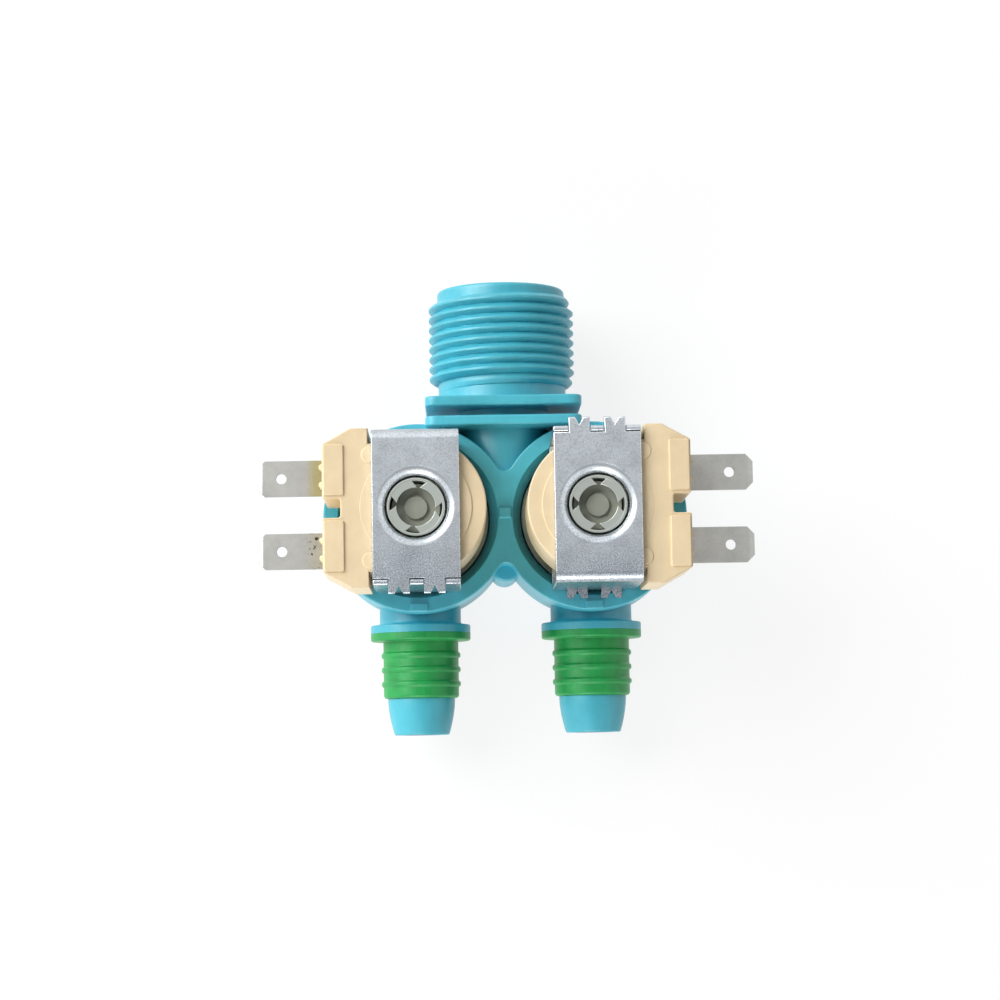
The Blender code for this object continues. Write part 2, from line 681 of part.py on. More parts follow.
def diaphragm(side, unit):
    """Rubber diaphragm with a rolled convolution and a clamped bead."""
    low = MEMBRANE_Z
    high = low + MEMBRANE_THICKNESS
    outer = POCKET_RADIUS - SLIDE_GAP
    bead_inner = outer - BEAD_WIDTH
    roll = MEMBRANE_ROLL_RADIUS
    half_roll = MEMBRANE_ROLL_HEIGHT
    profile = [
        (MEMBRANE_HOLE, high),
        (roll - half_roll, high),
        (roll, high + MEMBRANE_ROLL_HEIGHT),
        (roll + half_roll, high),
        (bead_inner, high),
        (bead_inner, low + BEAD_THICKNESS),
        (outer, low + BEAD_THICKNESS),
        (outer, low),
        (roll + half_roll, low),
        (roll, low + MEMBRANE_ROLL_HEIGHT),
        (roll - half_roll, low),
        (MEMBRANE_HOLE, low),
    ]
    return finish(turned(f"diaphragm_{side}", profile, INNER_STEPS), MATERIALS["black_rubber"], unit)


def poppet(side, unit):
    """Rigid centre of the diaphragm, with its pilot nozzle and the collar below the rubber."""
    collar_top = MEMBRANE_Z - SEAT_GAP
    profile = [
        (PILOT_BORE, NOZZLE_TOP_Z),
        (NOZZLE_RADIUS, NOZZLE_TOP_Z),
        (NOZZLE_RADIUS, NOZZLE_TOP_Z - NOZZLE_HEIGHT),
        (POPPET_DISC_RADIUS, NOZZLE_TOP_Z - NOZZLE_HEIGHT),
        (POPPET_DISC_RADIUS, POPPET_DISC_Z),
        (POPPET_STEM_RADIUS, POPPET_DISC_Z),
        (POPPET_STEM_RADIUS, collar_top),
        (POPPET_COLLAR_RADIUS, collar_top),
        (POPPET_COLLAR_RADIUS, collar_top - POPPET_COLLAR_THICKNESS),
        (PILOT_BORE, collar_top - POPPET_COLLAR_THICKNESS),
    ]
    return finish(turned(f"poppet_{side}", profile, HOLE_STEPS), MATERIALS["white_plastic"], unit)


def armature_guide(side, unit):
    """Blind tube for the plunger, with the flange that clamps the diaphragm's bead."""
    outer = POCKET_RADIUS - SLIDE_GAP
    hub_top = YOKE_BACK_Z - SEAT_GAP
    profile = [
        (0.0, GUIDE_END_Z + GUIDE_NIB_HEIGHT),
        (GUIDE_NIB_RADIUS, GUIDE_END_Z + GUIDE_NIB_HEIGHT),
        (GUIDE_NIB_RADIUS, GUIDE_END_Z),
        (GUIDE_TUBE_RADIUS, GUIDE_END_Z),
        (GUIDE_TUBE_RADIUS, hub_top),
        (GUIDE_HUB_RADIUS, hub_top),
        (GUIDE_HUB_RADIUS, GUIDE_PLATE_Z),
        (outer, GUIDE_PLATE_Z),
        (outer, GUIDE_Z),
        (GUIDE_RECESS_RADIUS, GUIDE_Z),
        (GUIDE_RECESS_RADIUS, GUIDE_RECESS_Z),
        (GUIDE_BORE, GUIDE_RECESS_Z),
        (GUIDE_BORE, GUIDE_INNER_END_Z),
        (0.0, GUIDE_INNER_END_Z),
    ]
    return finish(turned(f"armature_guide_{side}", profile, INNER_STEPS), MATERIALS["grey_plastic"], unit)


def plunger(side, carrier):
    """Steel plunger with a spring pocket above and a seal pocket below."""
    radius = GUIDE_BORE - SLIDE_GAP
    seal_pocket = SEAL_RADIUS + SLIDE_GAP
    seal_top = SEAL_THICKNESS - SEAL_PROUD + SEAT_GAP
    profile = [
        (0.0, PLUNGER_LENGTH),
        (radius - PLUNGER_CHAMFER, PLUNGER_LENGTH),
        (radius, PLUNGER_LENGTH - PLUNGER_CHAMFER),
        (radius, 0.0),
        (seal_pocket, 0.0),
        (seal_pocket, seal_top),
        (0.0, seal_top),
    ]
    body = turned(f"plunger_{side}", profile, INNER_STEPS)
    pocket_floor = PLUNGER_LENGTH - SPRING_POCKET_DEPTH
    pocket = [
        (0.0, PLUNGER_LENGTH + CUT_OVERRUN),
        (SPRING_POCKET_RADIUS, PLUNGER_LENGTH + CUT_OVERRUN),
        (SPRING_POCKET_RADIUS, pocket_floor),
        (0.0, pocket_floor),
    ]
    body = cut(body, turned("spring_pocket", pocket, INNER_STEPS))
    return finish(body, MATERIALS["plunger_steel"], carrier)


def plunger_seal(side, carrier):
    """Rubber disc in the plunger's lower end, which closes the pilot nozzle."""
    high = SEAL_THICKNESS - SEAL_PROUD
    seal = rod(f"plunger_seal_{side}", SEAL_RADIUS, (0, 0, -SEAL_PROUD), (0, 0, high), HOLE_STEPS)
    return finish(seal, MATERIALS["black_rubber"], carrier)


def plunger_spring(side, unit):
    """Closing spring between the plunger's pocket and the end of the guide."""
    low = PLUNGER_TOP_Z - SPRING_POCKET_DEPTH + SEAT_GAP + SPRING_WIRE
    high = GUIDE_INNER_END_Z - SEAT_GAP - SPRING_WIRE
    count = SPRING_TURNS * SPRING_STEPS
    curve = bpy.data.curves.new(f"plunger_spring_{side}", "CURVE")
    curve.dimensions = "3D"
    curve.bevel_depth = SPRING_WIRE
    curve.bevel_resolution = 0
    curve.use_fill_caps = True
    spline = curve.splines.new("POLY")
    spline.points.add(count)
    for i, point in enumerate(spline.points):
        angle = 2 * math.pi * i / SPRING_STEPS
        height = low + (high - low) * i / count
        point.co = (SPRING_RADIUS * math.cos(angle), SPRING_RADIUS * math.sin(angle), height, 1.0)
    obj = add_object(curve.name, curve)
    bpy.context.view_layer.update()
    return finish(as_mesh(obj), MATERIALS["spring_steel"], unit)


def teeth_cutter(plate_end, tip):
    """Space round the two staked teeth of a yoke angle, with the V notch in the end of each tooth."""
    outside = tip - CUT_OVERRUN
    clear = tip - CUT_OVERRUN / 2
    half = TOOTH_WIDTH / 2
    spread = half + TOOTH_SPREAD
    notch = TOOTH_NOTCH_WIDTH / 2 * (1 + (tip - clear) / TOOTH_NOTCH_DEPTH)
    side = YOKE_WIDTH / 2 + CUT_OVERRUN
    outline = [(side, outside), (side, plate_end)]
    for centre_x in (TOOTH_PITCH / 2, -TOOTH_PITCH / 2):
        outline += [
            (centre_x + half, plate_end),
            (centre_x + spread, clear),
            (centre_x + notch, clear),
            (centre_x, tip + TOOTH_NOTCH_DEPTH),
            (centre_x - notch, clear),
            (centre_x - spread, clear),
            (centre_x - half, plate_end),
        ]
    outline += [(-side, plate_end), (-side, outside)]
    return prism("teeth_cutter", outline, -SHEET - CUT_OVERRUN, CUT_OVERRUN)


def yoke_angle(name):
    """Sheet-steel angle: a plate in the plane z = 0, a flange folded back at its +Y end, two teeth at -Y."""
    half = YOKE_WIDTH / 2
    outer_centre = (YOKE_HALF - YOKE_BEND, -YOKE_BEND)
    plate_end = -YOKE_HALF + SHEET + TOOTH_GAP
    tip = -YOKE_HALF - TOOTH_LENGTH
    side_view = [(tip, 0.0)] + arc(outer_centre, YOKE_BEND, 90, 0, 4)
    side_view += [(YOKE_HALF, -YOKE_DEPTH), (YOKE_HALF - SHEET, -YOKE_DEPTH)]
    side_view += arc(outer_centre, YOKE_BEND - SHEET, 0, 90, 2)
    side_view += [(tip, -SHEET)]
    across = Matrix(((0, 0, 1, 0), (1, 0, 0, 0), (0, 1, 0, 0), (0, 0, 0, 1)))
    angle = cut(prism(name, side_view, -half, half, across), teeth_cutter(plate_end, tip))
    notch_half = TOOTH_WIDTH / 2 + TOOTH_SPREAD + TOOTH_GAP
    for centre_x in (TOOTH_PITCH / 2, -TOOTH_PITCH / 2):
        low = (centre_x - notch_half, YOKE_HALF - SHEET - CUT_OVERRUN, -YOKE_DEPTH - CUT_OVERRUN)
        high = (centre_x + notch_half, YOKE_HALF + CUT_OVERRUN, -YOKE_DEPTH + SHEET + TOOTH_GAP)
        angle = cut(angle, box("notch", low, high))
    lip = rod("lip", LIP_RADIUS, (0, 0, -SHEET - LIP_HEIGHT), (0, 0, -SHEET / 2), BUSH_STEPS)
    mouth = FUNNEL_RADIUS + (FUNNEL_RADIUS - POLE_HOLE) * CUT_OVERRUN / SHEET
    funnel = [
        (0.0, CUT_OVERRUN),
        (mouth, CUT_OVERRUN),
        (POLE_HOLE, -SHEET),
        (POLE_HOLE, -SHEET - LIP_HEIGHT - CUT_OVERRUN),
        (0.0, -SHEET - LIP_HEIGHT - CUT_OVERRUN),
    ]
    return cut(join(angle, lip), turned("funnel", funnel, BUSH_STEPS))


def yoke(side, unit):
    """Front and back angles, the back one turned over so that each one's teeth enter the other's flange."""
    front = yoke_angle(f"yoke_front_{side}")
    front.data.transform(Matrix.Translation((0, 0, YOKE_FRONT_Z)))
    finish(front, MATERIALS["zinc_steel"], unit)
    back = add_object(f"yoke_back_{side}", front.data.copy())
    middle = (YOKE_FRONT_Z + YOKE_BACK_Z) / 2
    to_middle = Matrix.Translation((0, 0, middle))
    back.data.transform(to_middle @ Matrix.Rotation(math.pi, 4, "X") @ to_middle.inverted())
    finish(back, MATERIALS["zinc_steel"], unit)


def front_bush(side, unit):
    """Rolled steel bush whose four tabs are folded in over the end of the armature guide."""
    top = PETAL_Z + PETAL_THICKNESS
    inner = BUSH_RADIUS - BUSH_WALL
    profile = [(inner, top), (BUSH_RADIUS, top), (BUSH_RADIUS, top - FRONT_BUSH_LENGTH)]
    profile.append((inner, top - FRONT_BUSH_LENGTH))
    bush = turned(f"bush_front_{side}", profile, BUSH_STEPS)
    outer = BUSH_RADIUS - BUSH_WALL / 2
    root = math.degrees(math.asin(PETAL_WIDTH / 2 / outer))
    tip = math.degrees(math.asin(PETAL_WIDTH / 2 / PETAL_INNER_RADIUS))
    outline = arc((0, 0), outer, -root, root, 2) + arc((0, 0), PETAL_INNER_RADIUS, tip, -tip, 4)
    for i in range(4):
        turn = Matrix.Rotation(PETAL_TURN + math.pi / 4 + i * math.pi / 2, 4, "Z")
        petal = prism("petal", outline, PETAL_Z, top - PETAL_THICKNESS / 10, turn)
        bush = join(bush, petal)
    return finish(bush, MATERIALS["bush_steel"], unit)


def back_bush(side, unit):
    """Plain bush at the valve end of the coil."""
    low = YOKE_BACK_Z + SEAT_GAP
    inner = BUSH_RADIUS - BUSH_WALL
    high = low + BACK_BUSH_LENGTH
    profile = [(inner, high), (BUSH_RADIUS, high), (BUSH_RADIUS, low), (inner, low)]
    return finish(turned(f"bush_back_{side}", profile, BUSH_STEPS), MATERIALS["bush_steel"], unit)


def coil_pocket_levels():
    return COIL_BACK_Z + COIL_END_WALL, COIL_FRONT_Z - COIL_END_WALL


def block_outline():
    """Outline of the terminal block on its inner side along -X, with the notch between the blades."""
    cut_x, cut_y = BLOCK_CHAMFER
    return [
        (-BLOCK_INNER_X, BLOCK_HALF_HEIGHT),
        (-BLOCK_OUTER_X + cut_x, BLOCK_HALF_HEIGHT),
        (-BLOCK_OUTER_X, BLOCK_HALF_HEIGHT - cut_y),
        (-BLOCK_OUTER_X, NOTCH_HALF_WIDTH),
        (-BLOCK_OUTER_X + NOTCH_DEPTH, NOTCH_HALF_WIDTH),
        (-BLOCK_OUTER_X + NOTCH_DEPTH, -NOTCH_HALF_WIDTH),
        (-BLOCK_OUTER_X, -NOTCH_HALF_WIDTH),
        (-BLOCK_OUTER_X, -BLOCK_HALF_HEIGHT + cut_y),
        (-BLOCK_OUTER_X + cut_x, -BLOCK_HALF_HEIGHT),
        (-BLOCK_INNER_X, -BLOCK_HALF_HEIGHT),
    ]


def coil_case(side, unit):
    """Cream overmoulding round the winding, with the terminal block on one side."""
    pocket_low, pocket_high = coil_pocket_levels()
    barrel = [
        (0.0, COIL_FRONT_Z),
        (COIL_STEP_RADIUS, COIL_FRONT_Z),
        (COIL_STEP_RADIUS, COIL_FRONT_Z - COIL_STEP_HEIGHT),
        (COIL_RADIUS, COIL_FRONT_Z - COIL_STEP_HEIGHT),
        (COIL_RADIUS, COIL_BACK_Z),
        (0.0, COIL_BACK_Z),
    ]
    case = turned(f"coil_case_{side}", barrel, COIL_STEPS)
    case = join(case, prism("block", block_outline(), BLOCK_BACK_Z, BLOCK_FRONT_Z))
    raised_low = BLOCK_FRONT_Z - SHEET
    raised_high = BLOCK_FRONT_Z + PAD_HEIGHT
    slot_reach = BLADE_WIDTH / 2 + SEAT_GAP
    slot_half = BLADE_THICKNESS / 2 + SEAT_GAP
    slot_outer = -BLOCK_OUTER_X - CUT_OVERRUN
    slot_inner = -BLOCK_OUTER_X + BLADE_ROOT + SEAT_GAP
    for i in (-1, 1):
        low_y, high_y = sorted((i * PAD_INNER_Y, i * PAD_OUTER_Y))
        pad_low = (-BLOCK_OUTER_X + SEAT_GAP, low_y, raised_low)
        pad_high = (-BLOCK_OUTER_X + PAD_DEPTH, high_y, raised_high)
        bump_low = (-BUMP_X, i * BUMP_Y, raised_low)
        bump_high = (-BUMP_X, i * BUMP_Y, raised_high)
        bump = rod("bump", BUMP_RADIUS, bump_low, bump_high, HOLE_STEPS)
        case = join(case, box("pad", pad_low, pad_high), bump)
        slot_y = i * BLADE_PITCH / 2
        slot_low = (slot_outer, slot_y - slot_reach, BLADE_Z - slot_half)
        slot_high = (slot_inner, slot_y + slot_reach, BLADE_Z + slot_half)
        case = cut(case, box("blade_slot", slot_low, slot_high))
    inner = COIL_RADIUS - COIL_SHELL
    space = [
        (0.0, COIL_FRONT_Z + CUT_OVERRUN),
        (COIL_MOUTH, COIL_FRONT_Z + CUT_OVERRUN),
        (COIL_MOUTH, pocket_high),
        (inner, pocket_high),
        (inner, pocket_low),
        (COIL_MOUTH, pocket_low),
        (COIL_MOUTH, COIL_BACK_Z - CUT_OVERRUN),
        (0.0, COIL_BACK_Z - CUT_OVERRUN),
    ]
    case = cut(case, turned("coil_space", space, INNER_STEPS))
    return finish(case, MATERIALS["cream_resin"], unit)


def coil_bobbin(side, unit):
    """Flanged spool inside the overmoulding."""
    pocket_low, pocket_high = coil_pocket_levels()
    low = pocket_low + SEAT_GAP
    high = pocket_high - SEAT_GAP
    tube = POLE_HOLE + BOBBIN_WALL
    profile = [
        (POLE_HOLE, high),
        (BOBBIN_RADIUS, high),
        (BOBBIN_RADIUS, high - BOBBIN_FLANGE),
        (tube, high - BOBBIN_FLANGE),
        (tube, low + BOBBIN_FLANGE),
        (BOBBIN_RADIUS, low + BOBBIN_FLANGE),
        (BOBBIN_RADIUS, low),
        (POLE_HOLE, low),
    ]
    return finish(turned(f"coil_bobbin_{side}", profile, INNER_STEPS), MATERIALS["bobbin_plastic"], unit)


def coil_winding(side, unit):
    """Copper winding as one solid of its outer shape."""
    pocket_low, pocket_high = coil_pocket_levels()
    low = pocket_low + BOBBIN_FLANGE + 2 * SEAT_GAP
    high = pocket_high - BOBBIN_FLANGE - 2 * SEAT_GAP
    inner = POLE_HOLE + BOBBIN_WALL + SLIDE_GAP
    profile = [(inner, high), (WINDING_RADIUS, high), (WINDING_RADIUS, low), (inner, low)]
    return finish(turned(f"coil_winding_{side}", profile, INNER_STEPS), MATERIALS["copper_winding"], unit)


def terminal(side, unit, index):
    """Flat spade blade with chamfered corners, a bevelled tip and a latch hole."""
    half = BLADE_WIDTH / 2
    y = (BLADE_PITCH / 2) * (1 if index == 1 else -1)
    root_x = -BLOCK_OUTER_X + BLADE_ROOT
    outline = [
        (root_x, y - half),
        (root_x, y + half),
        (-BLADE_TIP_X + BLADE_CORNER, y + half),
        (-BLADE_TIP_X, y + half - BLADE_CORNER),
        (-BLADE_TIP_X, y - half + BLADE_CORNER),
        (-BLADE_TIP_X + BLADE_CORNER, y - half),
    ]
    low = BLADE_Z - BLADE_THICKNESS / 2
    high = BLADE_Z + BLADE_THICKNESS / 2
    blade = prism(f"terminal_{index}_{side}", outline, low, high)
    outside = -BLADE_TIP_X - CUT_OVERRUN
    depth_at_outside = BLADE_BEVEL * (1 + CUT_OVERRUN / BLADE_BEVEL_LENGTH)
    for surface, into in ((low, 1), (high, -1)):
        wedge = [
            (outside, -into * CUT_OVERRUN),
            (-BLADE_TIP_X + BLADE_BEVEL_LENGTH * (1 + CUT_OVERRUN / BLADE_BEVEL), -into * CUT_OVERRUN),
            (outside, into * depth_at_outside),
        ]
        upright = Matrix.Translation((0, y, surface)) @ Matrix.Rotation(math.pi / 2, 4, "X")
        blade = cut(blade, prism("tip_bevel", wedge, -BLADE_WIDTH, BLADE_WIDTH, upright))
    hole_x = -BLADE_TIP_X + BLADE_HOLE_FROM_TIP
    hole_low = (hole_x, y, low - CUT_OVERRUN)
    hole_high = (hole_x, y, high + CUT_OVERRUN)
    hole = rod("latch_hole", BLADE_HOLE_RADIUS, hole_low, hole_high, HOLE_STEPS)
    return finish(cut(blade, hole), MATERIALS["tinned_brass"], unit)


def add_empty(name, place, parent=None):
    empty = bpy.data.objects.new(name, None)
    PARTS.objects.link(empty)
    empty.parent = parent
    empty.location = place
    empty.empty_display_size = 5 * MM
    return empty


def solenoid_unit(side):
    """Everything that sits on one coil axis, hung on an empty at that axis."""
    unit = add_empty(f"unit_{side}", (coil_x(side), CENTRE_Y, 0))
    unit.rotation_euler.z = UNIT_TURNS[side]
    carrier = add_empty(f"plunger_axis_{side}", (0, 0, PLUNGER_Z), unit)
    diaphragm(side, unit)
    poppet(side, unit)
    armature_guide(side, unit)
    plunger(side, carrier)
    plunger_seal(side, carrier)
    plunger_spring(side, unit)
    yoke(side, unit)
    front_bush(side, unit)
    back_bush(side, unit)
    coil_case(side, unit)
    coil_bobbin(side, unit)
    coil_winding(side, unit)
    terminal(side, unit, 1)
    terminal(side, unit, 2)


reset_scene()
PARTS, CUTTERS = make_collections()
MATERIALS = {
    "cyan_body": material("cyan_body", (0.075, 0.40, 0.48), 0.38),
    "green_sleeve": material("green_sleeve", (0.035, 0.30, 0.09), 0.42),
    "cream_resin": material("cream_resin", (0.93, 0.74, 0.47), 0.5),
    "zinc_steel": material("zinc_steel", (0.44, 0.46, 0.50), 0.38, 1.0),
    "bush_steel": material("bush_steel", (0.40, 0.43, 0.40), 0.35, 1.0),
    "tinned_brass": material("tinned_brass", (0.42, 0.40, 0.37), 0.42, 1.0),
    "bobbin_plastic": material("bobbin_plastic", (0.75, 0.68, 0.55), 0.5),
    "copper_winding": material("copper_winding", (0.60, 0.22, 0.09), 0.35, 1.0),
    "grey_plastic": material("grey_plastic", (0.22, 0.25, 0.21), 0.5),
    "white_plastic": material("white_plastic", (0.80, 0.80, 0.78), 0.45),
    "strainer_plastic": material("strainer_plastic", (0.82, 0.82, 0.80), 0.45),
    "black_rubber": material("black_rubber", (0.02, 0.02, 0.02), 0.75),
    "plunger_steel": material("plunger_steel", (0.50, 0.50, 0.50), 0.3, 1.0),
    "spring_steel": material("spring_steel", (0.55, 0.55, 0.55), 0.3, 1.0),
}
valve_body()
inlet_strainer()
flow_washer()
for valve_side in UNIT_TURNS:
    outlet_sleeve(valve_side)
    solenoid_unit(valve_side)
bpy.context.view_layer.update()
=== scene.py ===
"""Dresses the washing machine inlet valve: detailed pieces, procedural finishes, studio and camera."""
from math import asin, atan2, cos, degrees, pi, radians, sin, sqrt, tan

import bmesh
import bpy
from mathutils import Euler, Matrix, Vector


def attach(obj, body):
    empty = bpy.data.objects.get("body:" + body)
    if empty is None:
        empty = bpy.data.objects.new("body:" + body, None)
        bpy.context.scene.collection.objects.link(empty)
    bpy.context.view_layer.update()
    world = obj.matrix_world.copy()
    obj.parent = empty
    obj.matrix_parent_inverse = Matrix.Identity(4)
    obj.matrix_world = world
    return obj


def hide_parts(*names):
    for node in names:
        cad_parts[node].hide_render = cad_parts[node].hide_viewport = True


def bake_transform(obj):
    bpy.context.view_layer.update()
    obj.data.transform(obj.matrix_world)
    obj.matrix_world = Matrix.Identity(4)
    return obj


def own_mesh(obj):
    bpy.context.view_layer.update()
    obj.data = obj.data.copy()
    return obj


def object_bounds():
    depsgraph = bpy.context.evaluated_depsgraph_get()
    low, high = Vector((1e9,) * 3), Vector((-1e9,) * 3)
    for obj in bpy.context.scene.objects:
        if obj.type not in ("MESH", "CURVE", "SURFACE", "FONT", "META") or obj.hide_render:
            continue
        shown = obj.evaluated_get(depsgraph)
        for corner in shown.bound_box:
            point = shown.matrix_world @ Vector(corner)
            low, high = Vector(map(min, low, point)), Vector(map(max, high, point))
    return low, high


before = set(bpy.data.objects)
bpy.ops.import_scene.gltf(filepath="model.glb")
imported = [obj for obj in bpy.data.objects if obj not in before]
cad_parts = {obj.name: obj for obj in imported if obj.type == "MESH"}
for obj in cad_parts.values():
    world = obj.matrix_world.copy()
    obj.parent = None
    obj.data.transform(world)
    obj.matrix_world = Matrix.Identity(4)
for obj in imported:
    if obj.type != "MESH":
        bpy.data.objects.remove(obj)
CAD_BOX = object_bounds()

bl_info = {
    "name": "Inlet valve dressing",
    "version": (1, 0, 0),
    "blender": (4, 5, 0),
    "location": "View3D > Sidebar > Inlet valve",
    "description": "Detailed pieces and finishes for a washing machine inlet valve",
    "category": "Object",
}

# Shapes are drawn in millimetres and scaled to metres when a piece is finished
MM = 0.001
TINY = 1e-6
SIDES = {"left": -1, "right": 1}

# Layout, as in the CAD model
CENTRE_Y = -1.85
COIL_X = 15.6
NECK_AXIS_Z = 13.5
SPIGOT_AXIS_Z = 9.4
NECK_REACH = 42.2
SPIGOT_REACH = 38.5
PLATE_FRONT = 21.5
PLATE = 1.8
SLOT = 1.75
PLATE_HALF = (14.0, 13.5)
PLATE_CORNER = 2.2
STEM_RADIUS = 8.2
GAP = 0.25

# Neck and thread
NECK_BORE = 9.6
NECK_FLOOR = 23.1
NECK_LIP = 0.9
LEAD_RADIUS = 11.6
THREAD_ROOT = 12.2
THREAD_START = 24.27
THREAD_TURNS = 8
THREAD_ROW = 0.1
FLANK_SHARE = 0.8
FLANK_POWER = 0.8
RUN_IN = (-0.45, 0.12)
RUN_OUT = 0.12

# Chambers
CUP_RADIUS = 16.9
CUP_RIM_Z = 23.5
CUP_BEVEL = 0.9
RIM_INNER = 14.1
RIM_FLARE = 2.5
POCKET = 12.9
LEDGE = 10.8
LEDGE_Z = 14.6
CUP_FLOOR = 2.5
SEAT_TUBE = 4.9
FLOW_BORE = 3.3
PASSAGE_Z = 10.4
PASSAGE_RADIUS = 3.7
CROSS_RADIUS = 3.45
CROSS_HALF = 7
CROSS_Y = 2.5
WEB_LOW = 2.0
WEB_FILLET = 1.6
WEB_EDGE = 0.3
POST_RADIUS = 2.6
POST_TOP = 17.0
POST_Y = 8.6
GATE_HALF = 1.2
TAB_HALF = 1.55

# Outlets
COLLAR = 7.4
COLLAR_FILLET = 1.0
FLANGE = 9.1
FLANGE_Y = 18.5
SEAT_Y = 20.0
SPIGOT_NECK = 5.0
BARB = 6.1
BARB_Y = 31.9
BARB_POWER = 1.8
TIP = 4.95
SLEEVE_BORE = 5.25
SLEEVE_RADIUS = 6.85
SLEEVE_RIB = 7.2
SLEEVE_FLANGE = 1.4

# Yokes
YOKE_BACK_Z = 23.75
YOKE_FRONT_Z = 46.55
YOKE_HALF = 13.4
YOKE_WIDTH = 15.0
YOKE_BEND = 1.7
YOKE_END = 0.35
SHEET = 1.0
TOOTH_X = 3.05
TOOTH_HALF = 1.75
TOOTH_SPREAD = 0.12
TOOTH_LENGTH = 1.5
POLE_HOLE = 5.25
FUNNEL = 1.6
LIP_RADIUS = 6.2

# Bushes and guides inside the coils
BUSH_TOP = 45.4
BUSH_RADIUS = 5.0
BUSH_BORE = 4.5
BUSH_DEPTH = 8
TURN_DIFFERENCE = radians(3)
PETAL_OUTER = 4.8
PETAL_INNER = 3.3
PETAL_HALF = 2.2
GUIDE_PROFILE = (
    (0.0, 43.5), (2.05, 43.5), (2.05, 42.9), (4.2, 42.9), (4.2, 23.5), (7.0, 23.5), (7.0, 20.75),
    (12.65, 20.75), (12.65, 16.8), (10.9, 16.8), (10.9, 19.05), (3.6, 19.05), (3.6, 41.5), (0.0, 41.5),
)

# Coils, terminal blocks and blades
COIL_BACK = 25.0
COIL_FRONT = 45.3
COIL_RADIUS = 12.1
COIL_FACE = 9.6
COIL_STEP = 0.25
COIL_BORE = 6.7
WINDING_RADIUS = 10.9
WINDING_WALL = 1.2
BLOCK_FRONT = 45.25
BLOCK_BACK = 26.5
BLOCK_X = -16.0
BLOCK_HALF = 13.7
BLOCK_NOTCH = (3.1, 1.65)
BLOCK_ROOT = (-5.0, -8.1, 11.0)
NIB_RADIUS = 0.55
NIB_TOP = 37.0
NIB_Y = 1.55
BUMP_RADIUS = 1.45
BLADE_Z = 32.5
BLADE_HALF = 3.15
BLADE_THICK = 0.8
BLADE_TIP = 27.9
BLADE_PITCH = 12.8
BLADE_HOLE = 0.9
BEVEL_SLOPE = 0.25
BEVEL_LENGTH = 0.9

# Strainer
SCREEN_RADIUS = 7.72
STRAINER_END = 29.7
HOOP_PITCH = 0.58

# Diaphragms and springs
DISC_LOW = 14.85
DISC_TOP = 15.65
LIP_LOW = 16.05
BEAD_TOP = 16.55
SPRING_LOW = 32.0
SPRING_TOP = 41.25
SPRING_RADIUS = 1.33
SPRING_WIRE = 0.2

# Studio
WORLD_LEVEL = 0.36
FLOOR_HALF = 1.5
FLOOR_GLOW = 1.08
FLOOR_SHARE = 0.78
LAMP_AIM = (0, 0, 0.02)
CAMERA_PLACE = (-0.00828, -0.04583, 0.52146)
CAMERA_TURN = (0.094, -0.0148, -0.0163)


def mm(length):
    """Millimetres from a length in metres."""
    return length / MM


def size_property(name, description, default, low, high, unit="LENGTH", subtype="DISTANCE"):
    return bpy.props.FloatProperty(
        name=name, description=description, default=default, min=low, max=high, precision=6,
        unit=unit, subtype=subtype)


class ValveSizes(bpy.types.PropertyGroup):
    """Sizes that a user of the valve may want to change."""
    thread_pitch: size_property("Thread pitch", "Pitch of the pipe thread", 0.001814, 0.0005, 0.003)
    thread_depth: size_property("Thread depth", "Height from root to crest", 0.00102, 0.0, 0.0013)
    edge_round: size_property("Moulded edge", "Rounding of the moulded edges", 0.00035, 0.00005, 0.0006)
    sheet_round: size_property("Sheet edge", "Rounding of the sheet-steel edges", 0.00018, 0.00002, 0.0002)
    screen_wire: size_property("Screen wire", "Radius of the strainer's wires", 0.00011, 0.00005, 0.0002)
    petal_turn: size_property(
        "Petal turn", "How far the bushes' tabs turn", radians(-5), -pi / 4, pi / 4, "ROTATION", "ANGLE")


def colour_property(name, default, description):
    return bpy.props.FloatVectorProperty(
        name=name, description=description, subtype="COLOR", size=3, min=0.0, max=1.0, default=default)


class ValveColours(bpy.types.PropertyGroup):
    """Colours of the visible finishes."""
    body: colour_property("Body", (0.072, 0.52, 0.65), "Moulded body")
    sleeve: colour_property("Sleeve", (0.015, 0.40, 0.085), "Hose sleeves")
    resin: colour_property("Resin", (0.90, 0.725, 0.465), "Coil overmoulding")
    zinc: colour_property("Zinc", (0.62, 0.665, 0.705), "Yoke plates")
    blade: colour_property("Blade", (0.43, 0.43, 0.41), "Terminal blades")
    bush: colour_property("Bush", (0.62, 0.68, 0.63), "Pole bushes")


# Mesh helpers

def arc(centre, radius, start, end, steps):
    """Points on an arc, both ends included, with angles in degrees."""
    angles = (radians(start + (end - start) * i / steps) for i in range(steps + 1))
    return [(centre[0] + radius * cos(a), centre[1] + radius * sin(a)) for a in angles]


def rounded(points, radius, steps=4, only=None):
    """Outline with all or only some corners rounded."""
    out = []
    for i, point in enumerate(points):
        here = Vector(point)
        back = Vector(points[i - 1]) - here
        ahead = Vector(points[(i + 1) % len(points)]) - here
        if (only is not None and i not in only) or back.angle(ahead) > radians(176):
            out.append(tuple(point))
            continue
        angle = back.angle(ahead)
        reach = min(radius / tan(angle / 2), back.length * 0.48, ahead.length * 0.48)
        start = here + back.normalized() * reach
        end = here + ahead.normalized() * reach
        for k in range(steps + 1):
            t = k / steps
            out.append(tuple(start * (1 - t) ** 2 + here * 2 * t * (1 - t) + end * t * t))
    return out


def add_object(name, data):
    obj = bpy.data.objects.new(name, data)
    bpy.context.scene.collection.objects.link(obj)
    return obj


